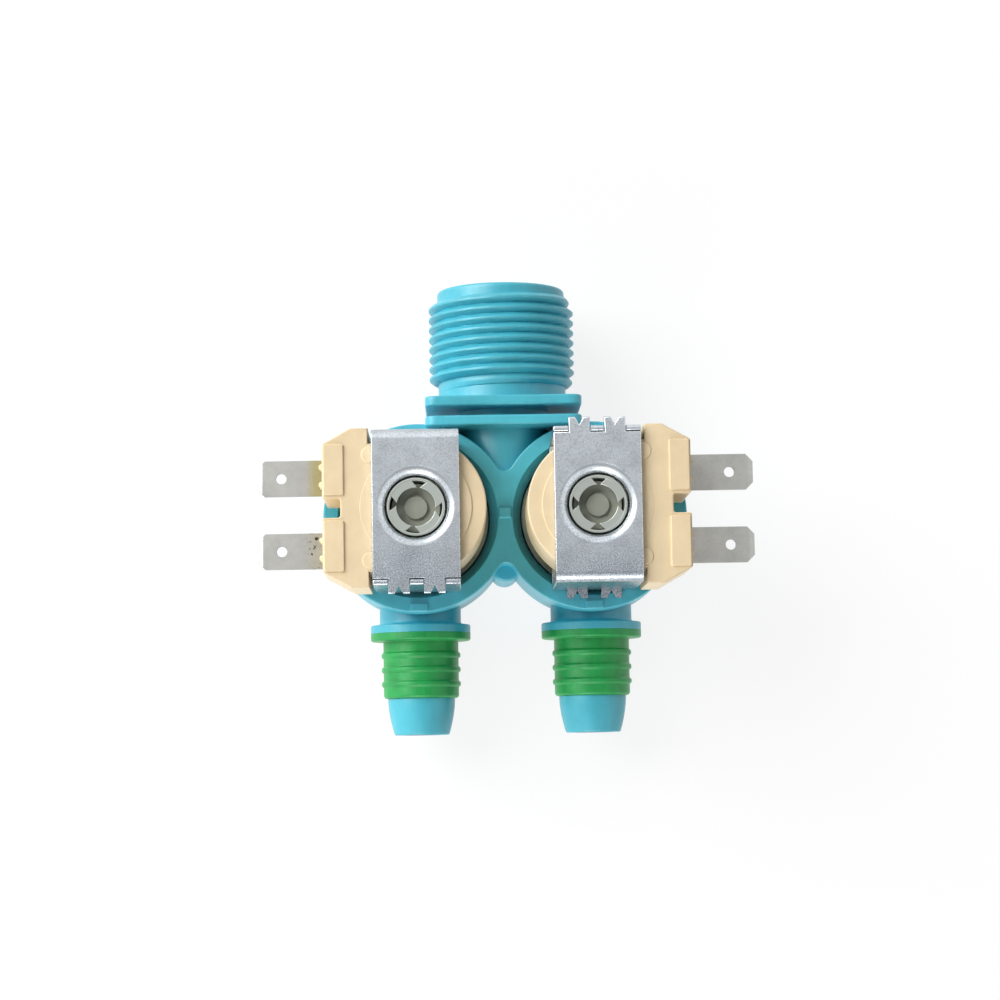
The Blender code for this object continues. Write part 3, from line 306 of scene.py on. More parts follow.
def mesh_object(name, verts, faces, place=None):
    """Object from points and faces that are then turned outwards."""
    mesh = bpy.data.meshes.new(name)
    work = bmesh.new()
    made = [work.verts.new(v) for v in verts]
    for face in faces:
        work.faces.new([made[i] for i in face])
    bmesh.ops.recalc_face_normals(work, faces=work.faces)
    work.to_mesh(mesh)
    work.free()
    if place:
        mesh.transform(place)
    return add_object(name, mesh)


def lathe(name, profile, steps, place=None):
    """Solid turned about Z from (radius, height) points."""
    verts = []
    rings = []
    for radius, height in profile:
        if radius < TINY:
            rings.append([len(verts)] * steps)
            verts.append((0.0, 0.0, height))
            continue
        rings.append(list(range(len(verts), len(verts) + steps)))
        for k in range(steps):
            angle = 2 * pi * k / steps
            verts.append((radius * cos(angle), radius * sin(angle), height))
    pairs = list(zip(rings, rings[1:]))
    if all(radius > TINY for radius, _ in profile):
        pairs.append((rings[-1], rings[0]))
    faces = []
    for upper, lower in pairs:
        for k in range(steps):
            around = (k + 1) % steps
            face = dict.fromkeys((upper[k], upper[around], lower[around], lower[k]))
            if len(face) > 2:
                faces.append(tuple(face))
    return mesh_object(name, verts, faces, place)


def ring_faces(count, rings):
    """Faces between rings of points, and one on each end."""
    faces = [tuple(range(count)), tuple(range((rings - 1) * count, rings * count))]
    for base in range(0, (rings - 1) * count, count):
        for k in range(count):
            around = (k + 1) % count
            faces.append((base + k, base + around, base + count + around, base + count + k))
    return faces


def inset(outline, distance):
    """An outline moved inwards by a distance."""
    area = sum(a[0] * b[1] - b[0] * a[1] for a, b in zip(outline, outline[1:] + outline[:1]))
    side = 1 if area > 0 else -1
    moved = []
    for i, point in enumerate(outline):
        before = Vector(point) - Vector(outline[i - 1])
        after = Vector(outline[(i + 1) % len(outline)]) - Vector(point)
        one = Vector((-before.y, before.x)).normalized() * side
        two = Vector((-after.y, after.x)).normalized() * side
        corner = (one + two) / max(0.2, 1 + one.dot(two))
        moved.append(tuple(Vector(point) + corner * distance))
    return moved


def loft(name, outline, levels, place=None):
    """Solid through an outline's copies, as (moved in, height)."""
    verts = []
    for distance, height in levels:
        ring = inset(outline, distance) if distance else outline
        verts += [(x, y, height) for x, y in ring]
    return mesh_object(name, verts, ring_faces(len(outline), len(levels)), place)


def quarter(radius):
    """Steps (inwards, upwards) round a quarter of a circle."""
    return [(radius * (1 - sin(a)), radius * (1 - cos(a))) for a in (0, pi / 6, pi / 3, pi / 2)]


def prism(name, outline, low, high, edge=0.0, place=None):
    """Upright solid with rounded rims."""
    levels = [(0.0, low), (0.0, high)]
    if edge > 0:
        turn = quarter(edge)
        levels = [(d, low + h) for d, h in turn] + [(d, high - h) for d, h in reversed(turn)]
    return loft(name, outline, levels, place)


def block(name, low, high, edge=0.0, corner=0.0):
    """Box between two corners with rounded uprights and rims."""
    outline = [(low[0], low[1]), (high[0], low[1]), (high[0], high[1]), (low[0], high[1])]
    if corner > 0:
        outline = rounded(outline, corner)
    return prism(name, outline, low[2], high[2], edge)


def rod(name, radius, start, end, steps=64):
    """Plain cylinder from one point to another."""
    start = Vector(start)
    along = Vector(end) - start
    turn = Vector((0, 0, 1)).rotation_difference(along).to_matrix().to_4x4()
    profile = [(0.0, 0.0), (radius, 0.0), (radius, along.length), (0.0, along.length)]
    return lathe(name, profile, steps, Matrix.Translation(start) @ turn)


def rod_y(name, radius, x, z, start, end, steps=64):
    """Cylinder along Y, given its ends' distances from the coils' line."""
    return rod(name, radius, (x, CENTRE_Y + start, z), (x, CENTRE_Y + end, z), steps)


def stud(name, radius, low, high, edge, steps, place):
    """Upright round stud with a rounded top."""
    profile = [(0, high), (radius, high), (radius, low), (0, low)]
    return lathe(name, rounded(profile, *edge, (1,)), steps, place)


def plain(obj):
    """Bake an object's modifiers into its mesh."""
    bpy.context.view_layer.update()
    depsgraph = bpy.context.evaluated_depsgraph_get()
    mesh = bpy.data.meshes.new_from_object(obj.evaluated_get(depsgraph))
    obj.modifiers.clear()
    obj.data = mesh
    return obj


def carve(obj, *steps):
    """Join (+) and cut (-) other solids in turn, then drop them."""
    for sign, other in steps:
        change = obj.modifiers.new(other.name, "BOOLEAN")
        change.operation = "UNION" if sign == "+" else "DIFFERENCE"
        change.solver = "EXACT"
        change.object = other
    plain(obj)
    for _, other in steps:
        bpy.data.objects.remove(other)
    return obj


def soften(obj, width, angle=40):
    """Round the sharp edges of a piece with a bevel."""
    bevel = obj.modifiers.new("edges", "BEVEL")
    bevel.width = width
    bevel.segments = 2
    bevel.limit_method = "ANGLE"
    bevel.angle_limit = radians(angle)
    bevel.use_clamp_overlap = True
    return plain(obj)


def copy_of(obj, name, place):
    twin = add_object(name, obj.data.copy())
    twin.data.transform(place)
    return twin


def shift(x, y, z):
    return Matrix.Translation((x, y, z))


def stand(side, height=0.0):
    """Moves a shape onto the axis of one chamber."""
    return shift(SIDES[side] * COIL_X, CENTRE_Y, height)


def unit_place(side):
    """Places a solenoid's piece, drawn with its terminals towards -X."""
    return stand(side) @ Matrix.Rotation(pi if side == "right" else 0.0, 4, "Z")


def inlet_place():
    """Turns a shape about Z to point along +Y from the coils' line."""
    return shift(0, CENTRE_Y, NECK_AXIS_Z) @ Matrix.Rotation(-pi / 2, 4, "X")


def outlet_place(side):
    """Turns a shape about Z to point along -Y from the coils' line."""
    return stand(side, SPIGOT_AXIS_Z) @ Matrix.Rotation(pi / 2, 4, "X")


def finish_piece(obj, name, material, nodes, body="valve", angle=32):
    """Scale a piece to metres, finish it and hand it to the frame; body is None to leave it unattached."""
    obj.name = name
    obj.data.transform(Matrix.Scale(MM, 4))
    obj.data.materials.clear()
    obj.data.materials.append(material)
    obj.data.shade_smooth()
    obj.data.set_sharp_from_angle(angle=radians(angle))
    even = obj.modifiers.new("even_normals", "WEIGHTED_NORMAL")
    even.keep_sharp = True
    plain(obj)
    if body:
        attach(obj, body)
    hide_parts(*nodes)


def finish_sides(shape, name, material, node, body="valve", angle=32):
    """Finish a copy of a solenoid's shape on each side and drop the shape."""
    copies = {side: copy_of(shape, name, unit_place(side)) for side in SIDES}
    bpy.data.objects.remove(shape)
    for side, piece in copies.items():
        finish_piece(piece, f"{name}_{side}", material, [f"{node}_{side}"], body, angle)
    return copies.items()


# Node helpers

class Nodes:
    """Adds nodes to a tree and links them in one call."""

    def __init__(self, tree):
        self.tree = tree

    def feed(self, sockets, values):
        """Link or set sockets by name or number."""
        for key, value in values.items():
            if isinstance(value, bpy.types.NodeSocket):
                self.tree.links.new(value, sockets[key])
            else:
                sockets[key].default_value = value

    def add(self, kind, inputs=None, **settings):
        made = self.tree.nodes.new(kind)
        for key, value in settings.items():
            setattr(made, key, value)
        self.feed(made.inputs, inputs or {})
        return made

    def math(self, operation, *values):
        return self.add("ShaderNodeMath", dict(enumerate(values)), operation=operation).outputs[0]

    def times(self, *values):
        return self.math("MULTIPLY", *values)

    def plus(self, *values):
        return self.math("ADD", *values)

    def minus(self, *values):
        return self.math("SUBTRACT", *values)

    def vector(self, operation, output, inputs):
        return self.add("ShaderNodeVectorMath", inputs, operation=operation).outputs[output]

    def noise(self, vector, scale, detail=3.0, roughness=0.5):
        inputs = {"Vector": vector, "Scale": scale, "Detail": detail, "Roughness": roughness}
        return self.add("ShaderNodeTexNoise", inputs).outputs["Fac"]

    def ramp(self, value, low, high, to_low=0.0, to_high=1.0):
        inputs = {"Value": value, "From Min": low, "From Max": high, "To Min": to_low, "To Max": to_high}
        return self.add("ShaderNodeMapRange", inputs).outputs["Result"]

    def blend(self, amount, one, two):
        """Mix two colours, which are sockets 6 and 7 of the node."""
        return self.add("ShaderNodeMix", {"Factor": amount, 6: one, 7: two}, data_type="RGBA").outputs[2]


def made_once(store, name):
    """Use a builder's data-block again when it is there already."""
    def wrap(build):
        def get(*args):
            return getattr(bpy.data, store).get(name) or build(name, *args)
        return get
    return wrap


def new_group(name, kind, inputs, outputs):
    """Node group with named sockets, as (name, kind of socket, default)."""
    group = bpy.data.node_groups.new(name, kind)
    for label, socket, default in inputs:
        socket = group.interface.new_socket(name=label, in_out="INPUT", socket_type="NodeSocket" + socket)
        if default is not None:
            socket.default_value = default
    for label, socket in outputs:
        group.interface.new_socket(name=label, in_out="OUTPUT", socket_type="NodeSocket" + socket)
    nodes = Nodes(group)
    return group, nodes, nodes.add("NodeGroupInput").outputs, nodes.add("NodeGroupOutput").inputs


def geometry_group(name, inputs):
    """Geometry group with a shape, the given sockets and a finish."""
    inputs = [("Geometry", "Geometry", None)] + inputs + [("Finish", "Material", None)]
    return new_group(name, "GeometryNodeTree", inputs, [("Geometry", "Geometry")])


def end_geometry(nodes, geometry, given, result):
    """Realize the instances and set the finish."""
    realized = nodes.add("GeometryNodeRealizeInstances", {"Geometry": geometry}).outputs[0]
    painted = nodes.add("GeometryNodeSetMaterial", {"Geometry": realized, "Material": given["Finish"]})
    nodes.feed(result, {0: painted.outputs[0]})


def run_nodes(obj, group, values):
    """Evaluate a geometry group and keep the plain mesh."""
    change = obj.modifiers.new(group.name, "NODES")
    change.node_group = group
    for item in group.interface.items_tree:
        if item.in_out == "INPUT" and item.name in values:
            change[item.identifier] = values[item.name]
    return plain(obj)


@made_once("node_groups", "screw_thread")
def thread_group(name):
    """Pushes a neck's wall out into a helical thread."""
    labels = ("Pitch", "Depth", "Root", "Start", "Turns", "Wall")
    group, nodes, given, result = geometry_group(name, [(label, "Float", 0.0) for label in labels])
    position = nodes.add("GeometryNodeInputPosition").outputs[0]
    parts = nodes.add("ShaderNodeSeparateXYZ", {"Vector": position}).outputs
    angle = nodes.math("ARCTAN2", parts["Y"], parts["X"])
    angle = nodes.math("FRACT", nodes.math("DIVIDE", angle, 2 * pi))
    climbed = nodes.math("DIVIDE", nodes.minus(parts["Z"], given["Start"]), given["Pitch"])
    turns = nodes.minus(climbed, angle)
    slope = nodes.math("MULTIPLY_ADD", nodes.math("FRACT", turns), 2.0, -1.0)
    ridge = nodes.minus(1.0, nodes.math("ABSOLUTE", slope))
    flank = nodes.math("POWER", nodes.ramp(ridge, 0.0, FLANK_SHARE), FLANK_POWER)
    along = nodes.plus(nodes.math("FLOOR", turns), angle)
    begin = nodes.ramp(along, *RUN_IN)
    last = given["Turns"]
    stop = nodes.ramp(along, nodes.plus(last, RUN_OUT), nodes.minus(last, RUN_OUT))
    radial = nodes.add("ShaderNodeCombineXYZ", {"X": parts["X"], "Y": parts["Y"]}).outputs[0]
    radius = nodes.vector("LENGTH", "Value", {0: radial})
    on_wall = nodes.math("GREATER_THAN", radius, nodes.minus(given["Wall"], 0.01))
    reach = nodes.math("MULTIPLY_ADD", flank, given["Depth"], given["Root"])
    height = nodes.times(reach, nodes.times(nodes.times(begin, stop), on_wall))
    outward = nodes.vector("NORMALIZE", "Vector", {0: radial})
    offset = nodes.vector("SCALE", "Vector", {0: outward, "Scale": height})
    moved = nodes.add("GeometryNodeSetPosition", {"Geometry": given["Geometry"], "Offset": offset})
    end_geometry(nodes, moved.outputs[0], given, result)
    return group


@made_once("node_groups", "stepped_copies")
def copies_group(name):
    """Repeats a shape, each copy stepped along and turned about Z."""
    group, nodes, given, result = geometry_group(name, [
        ("Count", "Int", 2), ("Step", "Vector", (0.0, 0.0, 0.0)),
        ("Turn", "Float", 0.0), ("First Turn", "Float", 0.0)])
    row = {"Count": given["Count"], "Offset": given["Step"]}
    line = nodes.add("GeometryNodeMeshLine", row, mode="OFFSET")
    index = nodes.add("GeometryNodeInputIndex").outputs[0]
    angle = nodes.math("MULTIPLY_ADD", index, given["Turn"], given["First Turn"])
    turn = nodes.add("ShaderNodeCombineXYZ", {"Z": angle}).outputs[0]
    placed = nodes.add("GeometryNodeInstanceOnPoints", {
        "Points": line.outputs[0], "Instance": given["Geometry"], "Rotation": turn})
    end_geometry(nodes, placed.outputs[0], given, result)
    return group


def repeat(obj, finish, count, turn=0.0, first=0.0, step=(0.0, 0.0, 0.0)):
    """Turn a shape into a row or a ring of copies."""
    values = {"Count": count, "Turn": turn, "First Turn": first, "Step": step, "Finish": finish}
    run_nodes(obj, copies_group(), values)


# Finishes

def surface_group(name, inputs):
    """Shader group that gives a colour, a roughness and a height."""
    outputs = [("Colour", "Color"), ("Roughness", "Float"), ("Height", "Float")]
    group, nodes, given, result = new_group(name, "ShaderNodeTree", inputs, outputs)
    return group, nodes, given, result, nodes.add("ShaderNodeTexCoord").outputs["Object"]


@made_once("node_groups", "moulded_surface")
def plastic_group(name):
    """Moulded plastic: slow shade changes, flow marks and a fine grain."""
    group, nodes, given, result, where = surface_group(name, [
        ("Colour", "Color", (0.5, 0.5, 0.5, 1)), ("Shade", "Color", (0.4, 0.4, 0.4, 1)),
        ("Cloud Size", "Float", 250.0), ("Grain Size", "Float", 2600.0),
        ("Roughness", "Float", 0.4)])
    cloud = nodes.noise(where, given["Cloud Size"], 4.0, 0.6)
    streak = nodes.add("ShaderNodeMapping", {"Vector": where, "Scale": (1.0, 0.25, 1.0)}).outputs[0]
    streaks = nodes.noise(streak, 900.0, 3.0, 0.7)
    grain = nodes.noise(where, given["Grain Size"], 2.0, 0.6)
    mixed = nodes.plus(nodes.times(cloud, 0.7), nodes.times(streaks, 0.3))
    nodes.feed(result, {
        "Colour": nodes.blend(nodes.ramp(mixed, 0.35, 0.65), given["Colour"], given["Shade"]),
        "Roughness": nodes.plus(given["Roughness"], nodes.math("MULTIPLY_ADD", streaks, 0.24, -0.12)),
        "Height": nodes.plus(nodes.times(grain, 0.5), nodes.times(streaks, 0.5))})
    return group


@made_once("node_groups", "plated_surface")
def metal_group(name):
    """Plated metal: crystal speckle over slow changes of shade."""
    group, nodes, given, result, where = surface_group(name, [
        ("Colour", "Color", (0.4, 0.4, 0.4, 1)), ("Speck", "Color", (0.6, 0.6, 0.6, 1)),
        ("Speck Size", "Float", 2200.0), ("Speck Amount", "Float", 1.0),
        ("Roughness", "Float", 0.4)])
    fine = nodes.noise(where, given["Speck Size"], 2.0, 0.7)
    wide = nodes.noise(where, 260.0, 3.0, 0.55)
    speck = nodes.times(nodes.ramp(fine, 0.47, 0.62), given["Speck Amount"])
    colour = nodes.blend(speck, given["Colour"], given["Speck"])
    tint = nodes.ramp(wide, 0.3, 0.7, 0.88, 1.08)
    nodes.feed(result, {
        "Colour": nodes.vector("SCALE", "Vector", {0: colour, "Scale": tint}),
        "Roughness": nodes.plus(given["Roughness"], nodes.math("MULTIPLY_ADD", fine, 0.3, -0.15)),
        "Height": nodes.plus(nodes.times(fine, 0.6), nodes.times(wide, 0.4))})
    return group


def rgba(colour, factor=1.0):
    return tuple(min(1.0, channel * factor) for channel in colour[:3]) + (1.0,)


def surface(name, group, values, bump, bump_distance, metallic=0.0, specular=0.5):
    """Material that reads one of the shared surfaces."""
    found = bpy.data.materials.get(name)
    if found:
        return found
    material = bpy.data.materials.new(name)
    material.use_nodes = True
    nodes = Nodes(material.node_tree)
    made = nodes.add("ShaderNodeGroup", node_tree=group)
    nodes.feed(made.inputs, values)
    relief = nodes.add("ShaderNodeBump", {
        "Strength": bump, "Distance": bump_distance, "Height": made.outputs["Height"]})
    nodes.feed(material.node_tree.nodes["Principled BSDF"].inputs, {
        "Base Color": made.outputs["Colour"], "Roughness": made.outputs["Roughness"],
        "Normal": relief.outputs["Normal"], "Metallic": metallic, "Specular IOR Level": specular})
    material.diffuse_color = values["Colour"]
    return material


def plastic(name, colour, shade=0.85, roughness=0.4, cloud=250.0, grain=2600.0, bump=0.25, specular=0.5):
    values = {"Colour": rgba(colour), "Shade": rgba(colour, shade), "Cloud Size": cloud,
              "Grain Size": grain, "Roughness": roughness}
    return surface(name, plastic_group(), values, bump, 0.00004, specular=specular)


def metal(name, colour, speck=0.8, size=2200.0, amount=1.0, roughness=0.4, bump=0.3):
    values = {"Colour": rgba(colour), "Speck": rgba(colour, speck), "Speck Size": size,
              "Speck Amount": amount, "Roughness": roughness}
    return surface(name, metal_group(), values, bump, 0.00003, metallic=1.0)


RUBBER = ((0.022, 0.022, 0.024), 0.7, 0.7, 500.0, 3200.0, 0.5, 0.3)


def over_base(material):
    """Nodes, shader inputs, colour and coordinates for painting over a material."""
    nodes = Nodes(material.node_tree)
    inputs = material.node_tree.nodes["Principled BSDF"].inputs
    where = nodes.add("ShaderNodeTexCoord").outputs["Object"]
    return nodes, inputs, inputs["Base Color"].links[0].from_socket, where


def bush_finish():
    return metal("bush_steel", bpy.context.scene.valve_colours.bush, 0.85, 900.0, 0.8, 0.34, 0.2)


@made_once("materials", "zinc_sheet")
def zinc_finish(name, colour):
    """Zinc with a fine dark speckle that thickens towards the outlets."""
    material = metal(name, colour, 0.72, 3300.0, 1.0, 0.28, 0.35)
    nodes, inputs, base, where = over_base(material)
    down = nodes.add("ShaderNodeSeparateXYZ", {"Vector": where}).outputs["Y"]
    patch = nodes.math("MULTIPLY_ADD", nodes.noise(where, 180.0, 2.0), 0.012, down)
    thick = nodes.ramp(patch, 0.002, -0.007, 0.12, 0.8)
    fine = nodes.ramp(nodes.noise(where, 5200.0, 1.0), 0.46, 0.58)
    nodes.feed(inputs, {"Base Color": nodes.blend(nodes.times(thick, fine), base, (0.20, 0.24, 0.29, 1.0))})
    return material


@made_once("materials", "blade_metal")
def blade_finish(name, colour):
    """Dull tin with a painted yellowish highlight on the left blades next to the resin, stronger on the upper
    blade, and dark specks next to the resin.
    """
    material = metal(name, colour, 0.9, 3200.0, 0.8, 0.42, 0.2)
    nodes, inputs, base, where = over_base(material)
    parts = nodes.add("ShaderNodeSeparateXYZ", {"Vector": where}).outputs
    wander = nodes.math("MULTIPLY_ADD", nodes.noise(where, 700.0, 3.0), 0.0012, -0.0006)
    reach = nodes.plus(parts["X"], wander)
    upper = nodes.ramp(parts["Y"], -0.0035, -0.0025)
    # Painted highlight: a yellowish sheen on the left blades next to the resin, stronger on the upper blade
    painted_highlight = nodes.times(nodes.ramp(reach, -0.0350, -0.0334), nodes.ramp(upper, 0.0, 1.0, 0.25, 0.8))
    painted_highlight = nodes.times(painted_highlight, nodes.ramp(parts["X"], 0.0, -0.001))
    highlighted = nodes.blend(painted_highlight, base, (0.37, 0.32, 0.13, 1.0))
    dots = nodes.ramp(nodes.noise(where, 1500.0, 2.0), 0.6, 0.64)
    marks = nodes.times(dots, nodes.minus(1.0, upper))
    marks = nodes.times(marks, nodes.ramp(reach, -0.0350, -0.0340))
    marks = nodes.times(marks, nodes.ramp(parts["X"], -0.0322, -0.0330))
    nodes.feed(inputs, {"Base Color": nodes.blend(marks, highlighted, (0.05, 0.035, 0.03, 1.0))})
    return material


# Pieces

def plate_solid(front, edge):
    """Bracket plate with its front face at a distance from the coils' line."""
    half_x, half_z = PLATE_HALF
    corners = [(half_x, half_z), (-half_x, half_z), (-half_x, -half_z), (half_x, -half_z)]
    return prism("plate", rounded(corners, PLATE_CORNER, 8), front - PLATE, front, edge, inlet_place())


def cup_solid(side, edge):
    profile = [(0.0, CUP_RIM_Z), (CUP_RADIUS, CUP_RIM_Z), (CUP_RADIUS, 0.0), (0.0, 0.0)]
    smooth = rounded(profile, edge, 5, (1,))
    smooth = rounded(smooth, CUP_BEVEL, 5, (len(smooth) - 2,))
    return lathe("cup", smooth, 144, stand(side))


def cup_space(side):
    flare = RIM_INNER + 0.25
    profile = [
        (0.0, CUP_RIM_Z + 1), (flare, CUP_RIM_Z + 1), (flare, CUP_RIM_Z + 0.01), (RIM_INNER, CUP_RIM_Z - 0.3),
        (POCKET, CUP_RIM_Z - RIM_FLARE), (POCKET, LEDGE_Z), (LEDGE, LEDGE_Z), (LEDGE, CUP_FLOOR),
        (0.0, CUP_FLOOR),
    ]
    return lathe("cup_space", profile, 144, stand(side))


def spigot_solid(side, edge):
    """Outlet whose barrel swells from the tip to the barb."""
    inside_wall = (POCKET + CUP_RADIUS) / 2
    last = 12
    barrel = [(TIP + (BARB - TIP) * (1 - (1 - k / last) ** BARB_POWER),
               SPIGOT_REACH + (BARB_Y - SPIGOT_REACH) * k / last) for k in range(last + 1)]
    profile = [(0.0, SPIGOT_REACH)] + barrel + [
        (SPIGOT_NECK, BARB_Y), (SPIGOT_NECK, SEAT_Y), (FLANGE, SEAT_Y), (FLANGE, FLANGE_Y),
        (COLLAR, FLANGE_Y), (COLLAR, inside_wall), (0.0, inside_wall),
    ]
    smooth = rounded(profile, edge, 4, (1, last + 5))
    smooth = rounded(smooth, COLLAR_FILLET, 5, (len(smooth) - 3,))
    return lathe("spigot", smooth, 96, outlet_place(side))


def neck_solid(sizes, finish):
    """Threaded neck with a smooth lead-in, before its bore is cut."""
    inside_plate = PLATE_FRONT - PLATE / 2
    pitch = mm(sizes.thread_pitch)
    thread_end = THREAD_START + (THREAD_TURNS + 1) * pitch
    thread_begin = THREAD_START - pitch / 2
    rows = int((thread_end - thread_begin) / THREAD_ROW)
    wall = [(LEAD_RADIUS, thread_end - (thread_end - thread_begin) * i / rows) for i in range(rows + 1)]
    lead = rounded([(0.0, NECK_REACH), (LEAD_RADIUS, NECK_REACH), wall[0]], NECK_LIP, 6, (1,))
    neck = lathe("neck", lead[:-1] + wall + [(LEAD_RADIUS, inside_plate), (0.0, inside_plate)], 132)
    values = {"Pitch": pitch, "Depth": mm(sizes.thread_depth), "Root": THREAD_ROOT - LEAD_RADIUS,
              "Start": THREAD_START, "Turns": float(THREAD_TURNS), "Wall": LEAD_RADIUS, "Finish": finish}
    run_nodes(neck, thread_group(), values)
    neck.data.transform(inlet_place())
    return neck


def web_solid():
    """Web that joins the two chambers, with a hollow fillet at each end."""
    reach = sqrt((CUP_RADIUS + WEB_FILLET) ** 2 - COIL_X ** 2)
    lean = degrees(atan2(reach, COIL_X))
    outline = arc((0, reach), WEB_FILLET, -lean, lean - 180, 10)
    outline += arc((0, -reach), WEB_FILLET, 180 - lean, lean, 10)
    return prism("web", outline, WEB_LOW, CUP_RIM_Z - 0.003, WEB_EDGE, shift(0, CENTRE_Y, 0))


def body_solids(side, edge):
    """Everything outside one chamber's own turned shape."""
    x = SIDES[side] * COIL_X
    low = (x - TAB_HALF, CENTRE_Y - 16.7, CUP_RIM_Z - 0.7)
    high = (x + TAB_HALF, CENTRE_Y - 15.3, CUP_RIM_Z + 0.8)
    return [("+", spigot_solid(side, edge)), ("+", block("rim_tab", low, high, 0.2, 0.25))]


def chamber_steps(side):
    """Hollow one chamber, stand its seat in it and bore its outlet."""
    x = SIDES[side] * COIL_X
    axis = SPIGOT_AXIS_Z
    return [
        ("-", cup_space(side)),
        ("+", rod("riser", SEAT_TUBE, (x, CENTRE_Y, CUP_FLOOR / 2), (x, CENTRE_Y, LEDGE_Z))),
        ("+", rod_y("outlet_pipe", SEAT_TUBE - GAP, x, axis, 0, -(LEDGE + CUP_RADIUS) / 2)),
        ("-", rod("seat_bore", FLOW_BORE - GAP, (x, CENTRE_Y, axis - 3), (x, CENTRE_Y, LEDGE_Z + 1))),
        ("-", rod_y("outlet_bore", FLOW_BORE, x, axis, FLOW_BORE / 2, -SPIGOT_REACH - 1)),
    ]


class VALVE_OT_body(bpy.types.Operator):
    """Moulded body with its threaded neck, bracket plates, chambers and outlets"""
    bl_idname = "valve.body"
    bl_label = "Body moulding"

    def execute(self, context):
        sizes = context.scene.valve_sizes
        edge = mm(sizes.edge_round)
        colour = context.scene.valve_colours.body
        finish = plastic("body_plastic", colour, 0.84, 0.38, 180.0, 2400.0, 0.22, 0.7)
        body = cup_solid("left", edge)
        cross_y = CENTRE_Y + CROSS_Y
        gate_low = (-GATE_HALF, CENTRE_Y - 0.35, CUP_RIM_Z - 1)
        gate_high = (GATE_HALF, CENTRE_Y + 1.65, CUP_RIM_Z + 0.5)
        steps = [
            ("+", cup_solid("right", edge)),
            ("+", rod_y("stem", STEM_RADIUS, 0, NECK_AXIS_Z, PLATE_FRONT - 0.6, CROSS_Y + GAP, 96)),
            ("+", plate_solid(PLATE_FRONT - PLATE - SLOT, edge)),
            ("+", plate_solid(PLATE_FRONT, edge)),
            ("+", stud("web_post", POST_RADIUS, 0, POST_TOP, (0.6, 4), 48, shift(0, CENTRE_Y - POST_Y, 0))),
            ("+", web_solid()),
            ("+", block("gate", gate_low, gate_high, 0.49)),
        ]
        for side in SIDES:
            steps += body_solids(side, edge)
        for side in SIDES:
            steps += chamber_steps(side)
        cross_ends = ((-CROSS_HALF, cross_y, PASSAGE_Z), (CROSS_HALF, cross_y, PASSAGE_Z))
        carve(
            body, *steps, ("-", rod("cross_passage", CROSS_RADIUS, *cross_ends)),
            ("+", neck_solid(sizes, finish)),
            ("-", rod_y("neck_bore", NECK_BORE, 0, NECK_AXIS_Z, NECK_FLOOR, NECK_REACH + 1, 120)),
            ("-", rod_y("passage", PASSAGE_RADIUS, 0, PASSAGE_Z, CROSS_Y, NECK_FLOOR + 1)))
        finish_piece(body, "body_moulding", finish, ["valve_body"])
        return {"FINISHED"}


class VALVE_OT_sleeves(bpy.types.Operator):
    """Ribbed sleeves on the two outlets"""
    bl_idname = "valve.sleeves"
    bl_label = "Hose sleeves"

    def execute(self, context):
        finish = plastic("sleeve_plastic", context.scene.valve_colours.sleeve, 0.72, 0.4, 320.0, 2000.0, 0.3)
        start = SEAT_Y + 0.02
        end = BARB_Y - 0.05
        flange = start + SLEEVE_FLANGE
        pitch = (end - flange) / 4
        profile = [(SLEEVE_BORE, end)] + arc((SLEEVE_RADIUS - 0.6, end - 0.6), 0.6, 90, 0, 4)
        for i in range(3):
            rib = end - (i + 1) * pitch
            profile += [(SLEEVE_RADIUS, rib + 0.62), (SLEEVE_RIB, rib + 0.28)]
            profile += [(SLEEVE_RIB, rib - 0.28), (SLEEVE_RADIUS, rib - 0.62)]
        profile += [(SLEEVE_RADIUS, flange)] + arc((FLANGE - 0.4, flange - 0.4), 0.4, 90, 0, 4)
        profile += [(FLANGE, start), (SLEEVE_BORE, start)]
        smooth = rounded(profile, 0.22, 4, range(6, len(profile) - 7))
        for side in SIDES:
            sleeve = lathe("sleeve", smooth, 96, outlet_place(side))
            node = [f"outlet_sleeve_{side}"]
            finish_piece(sleeve, f"hose_sleeve_{side}", finish, node, angle=40)
        return {"FINISHED"}


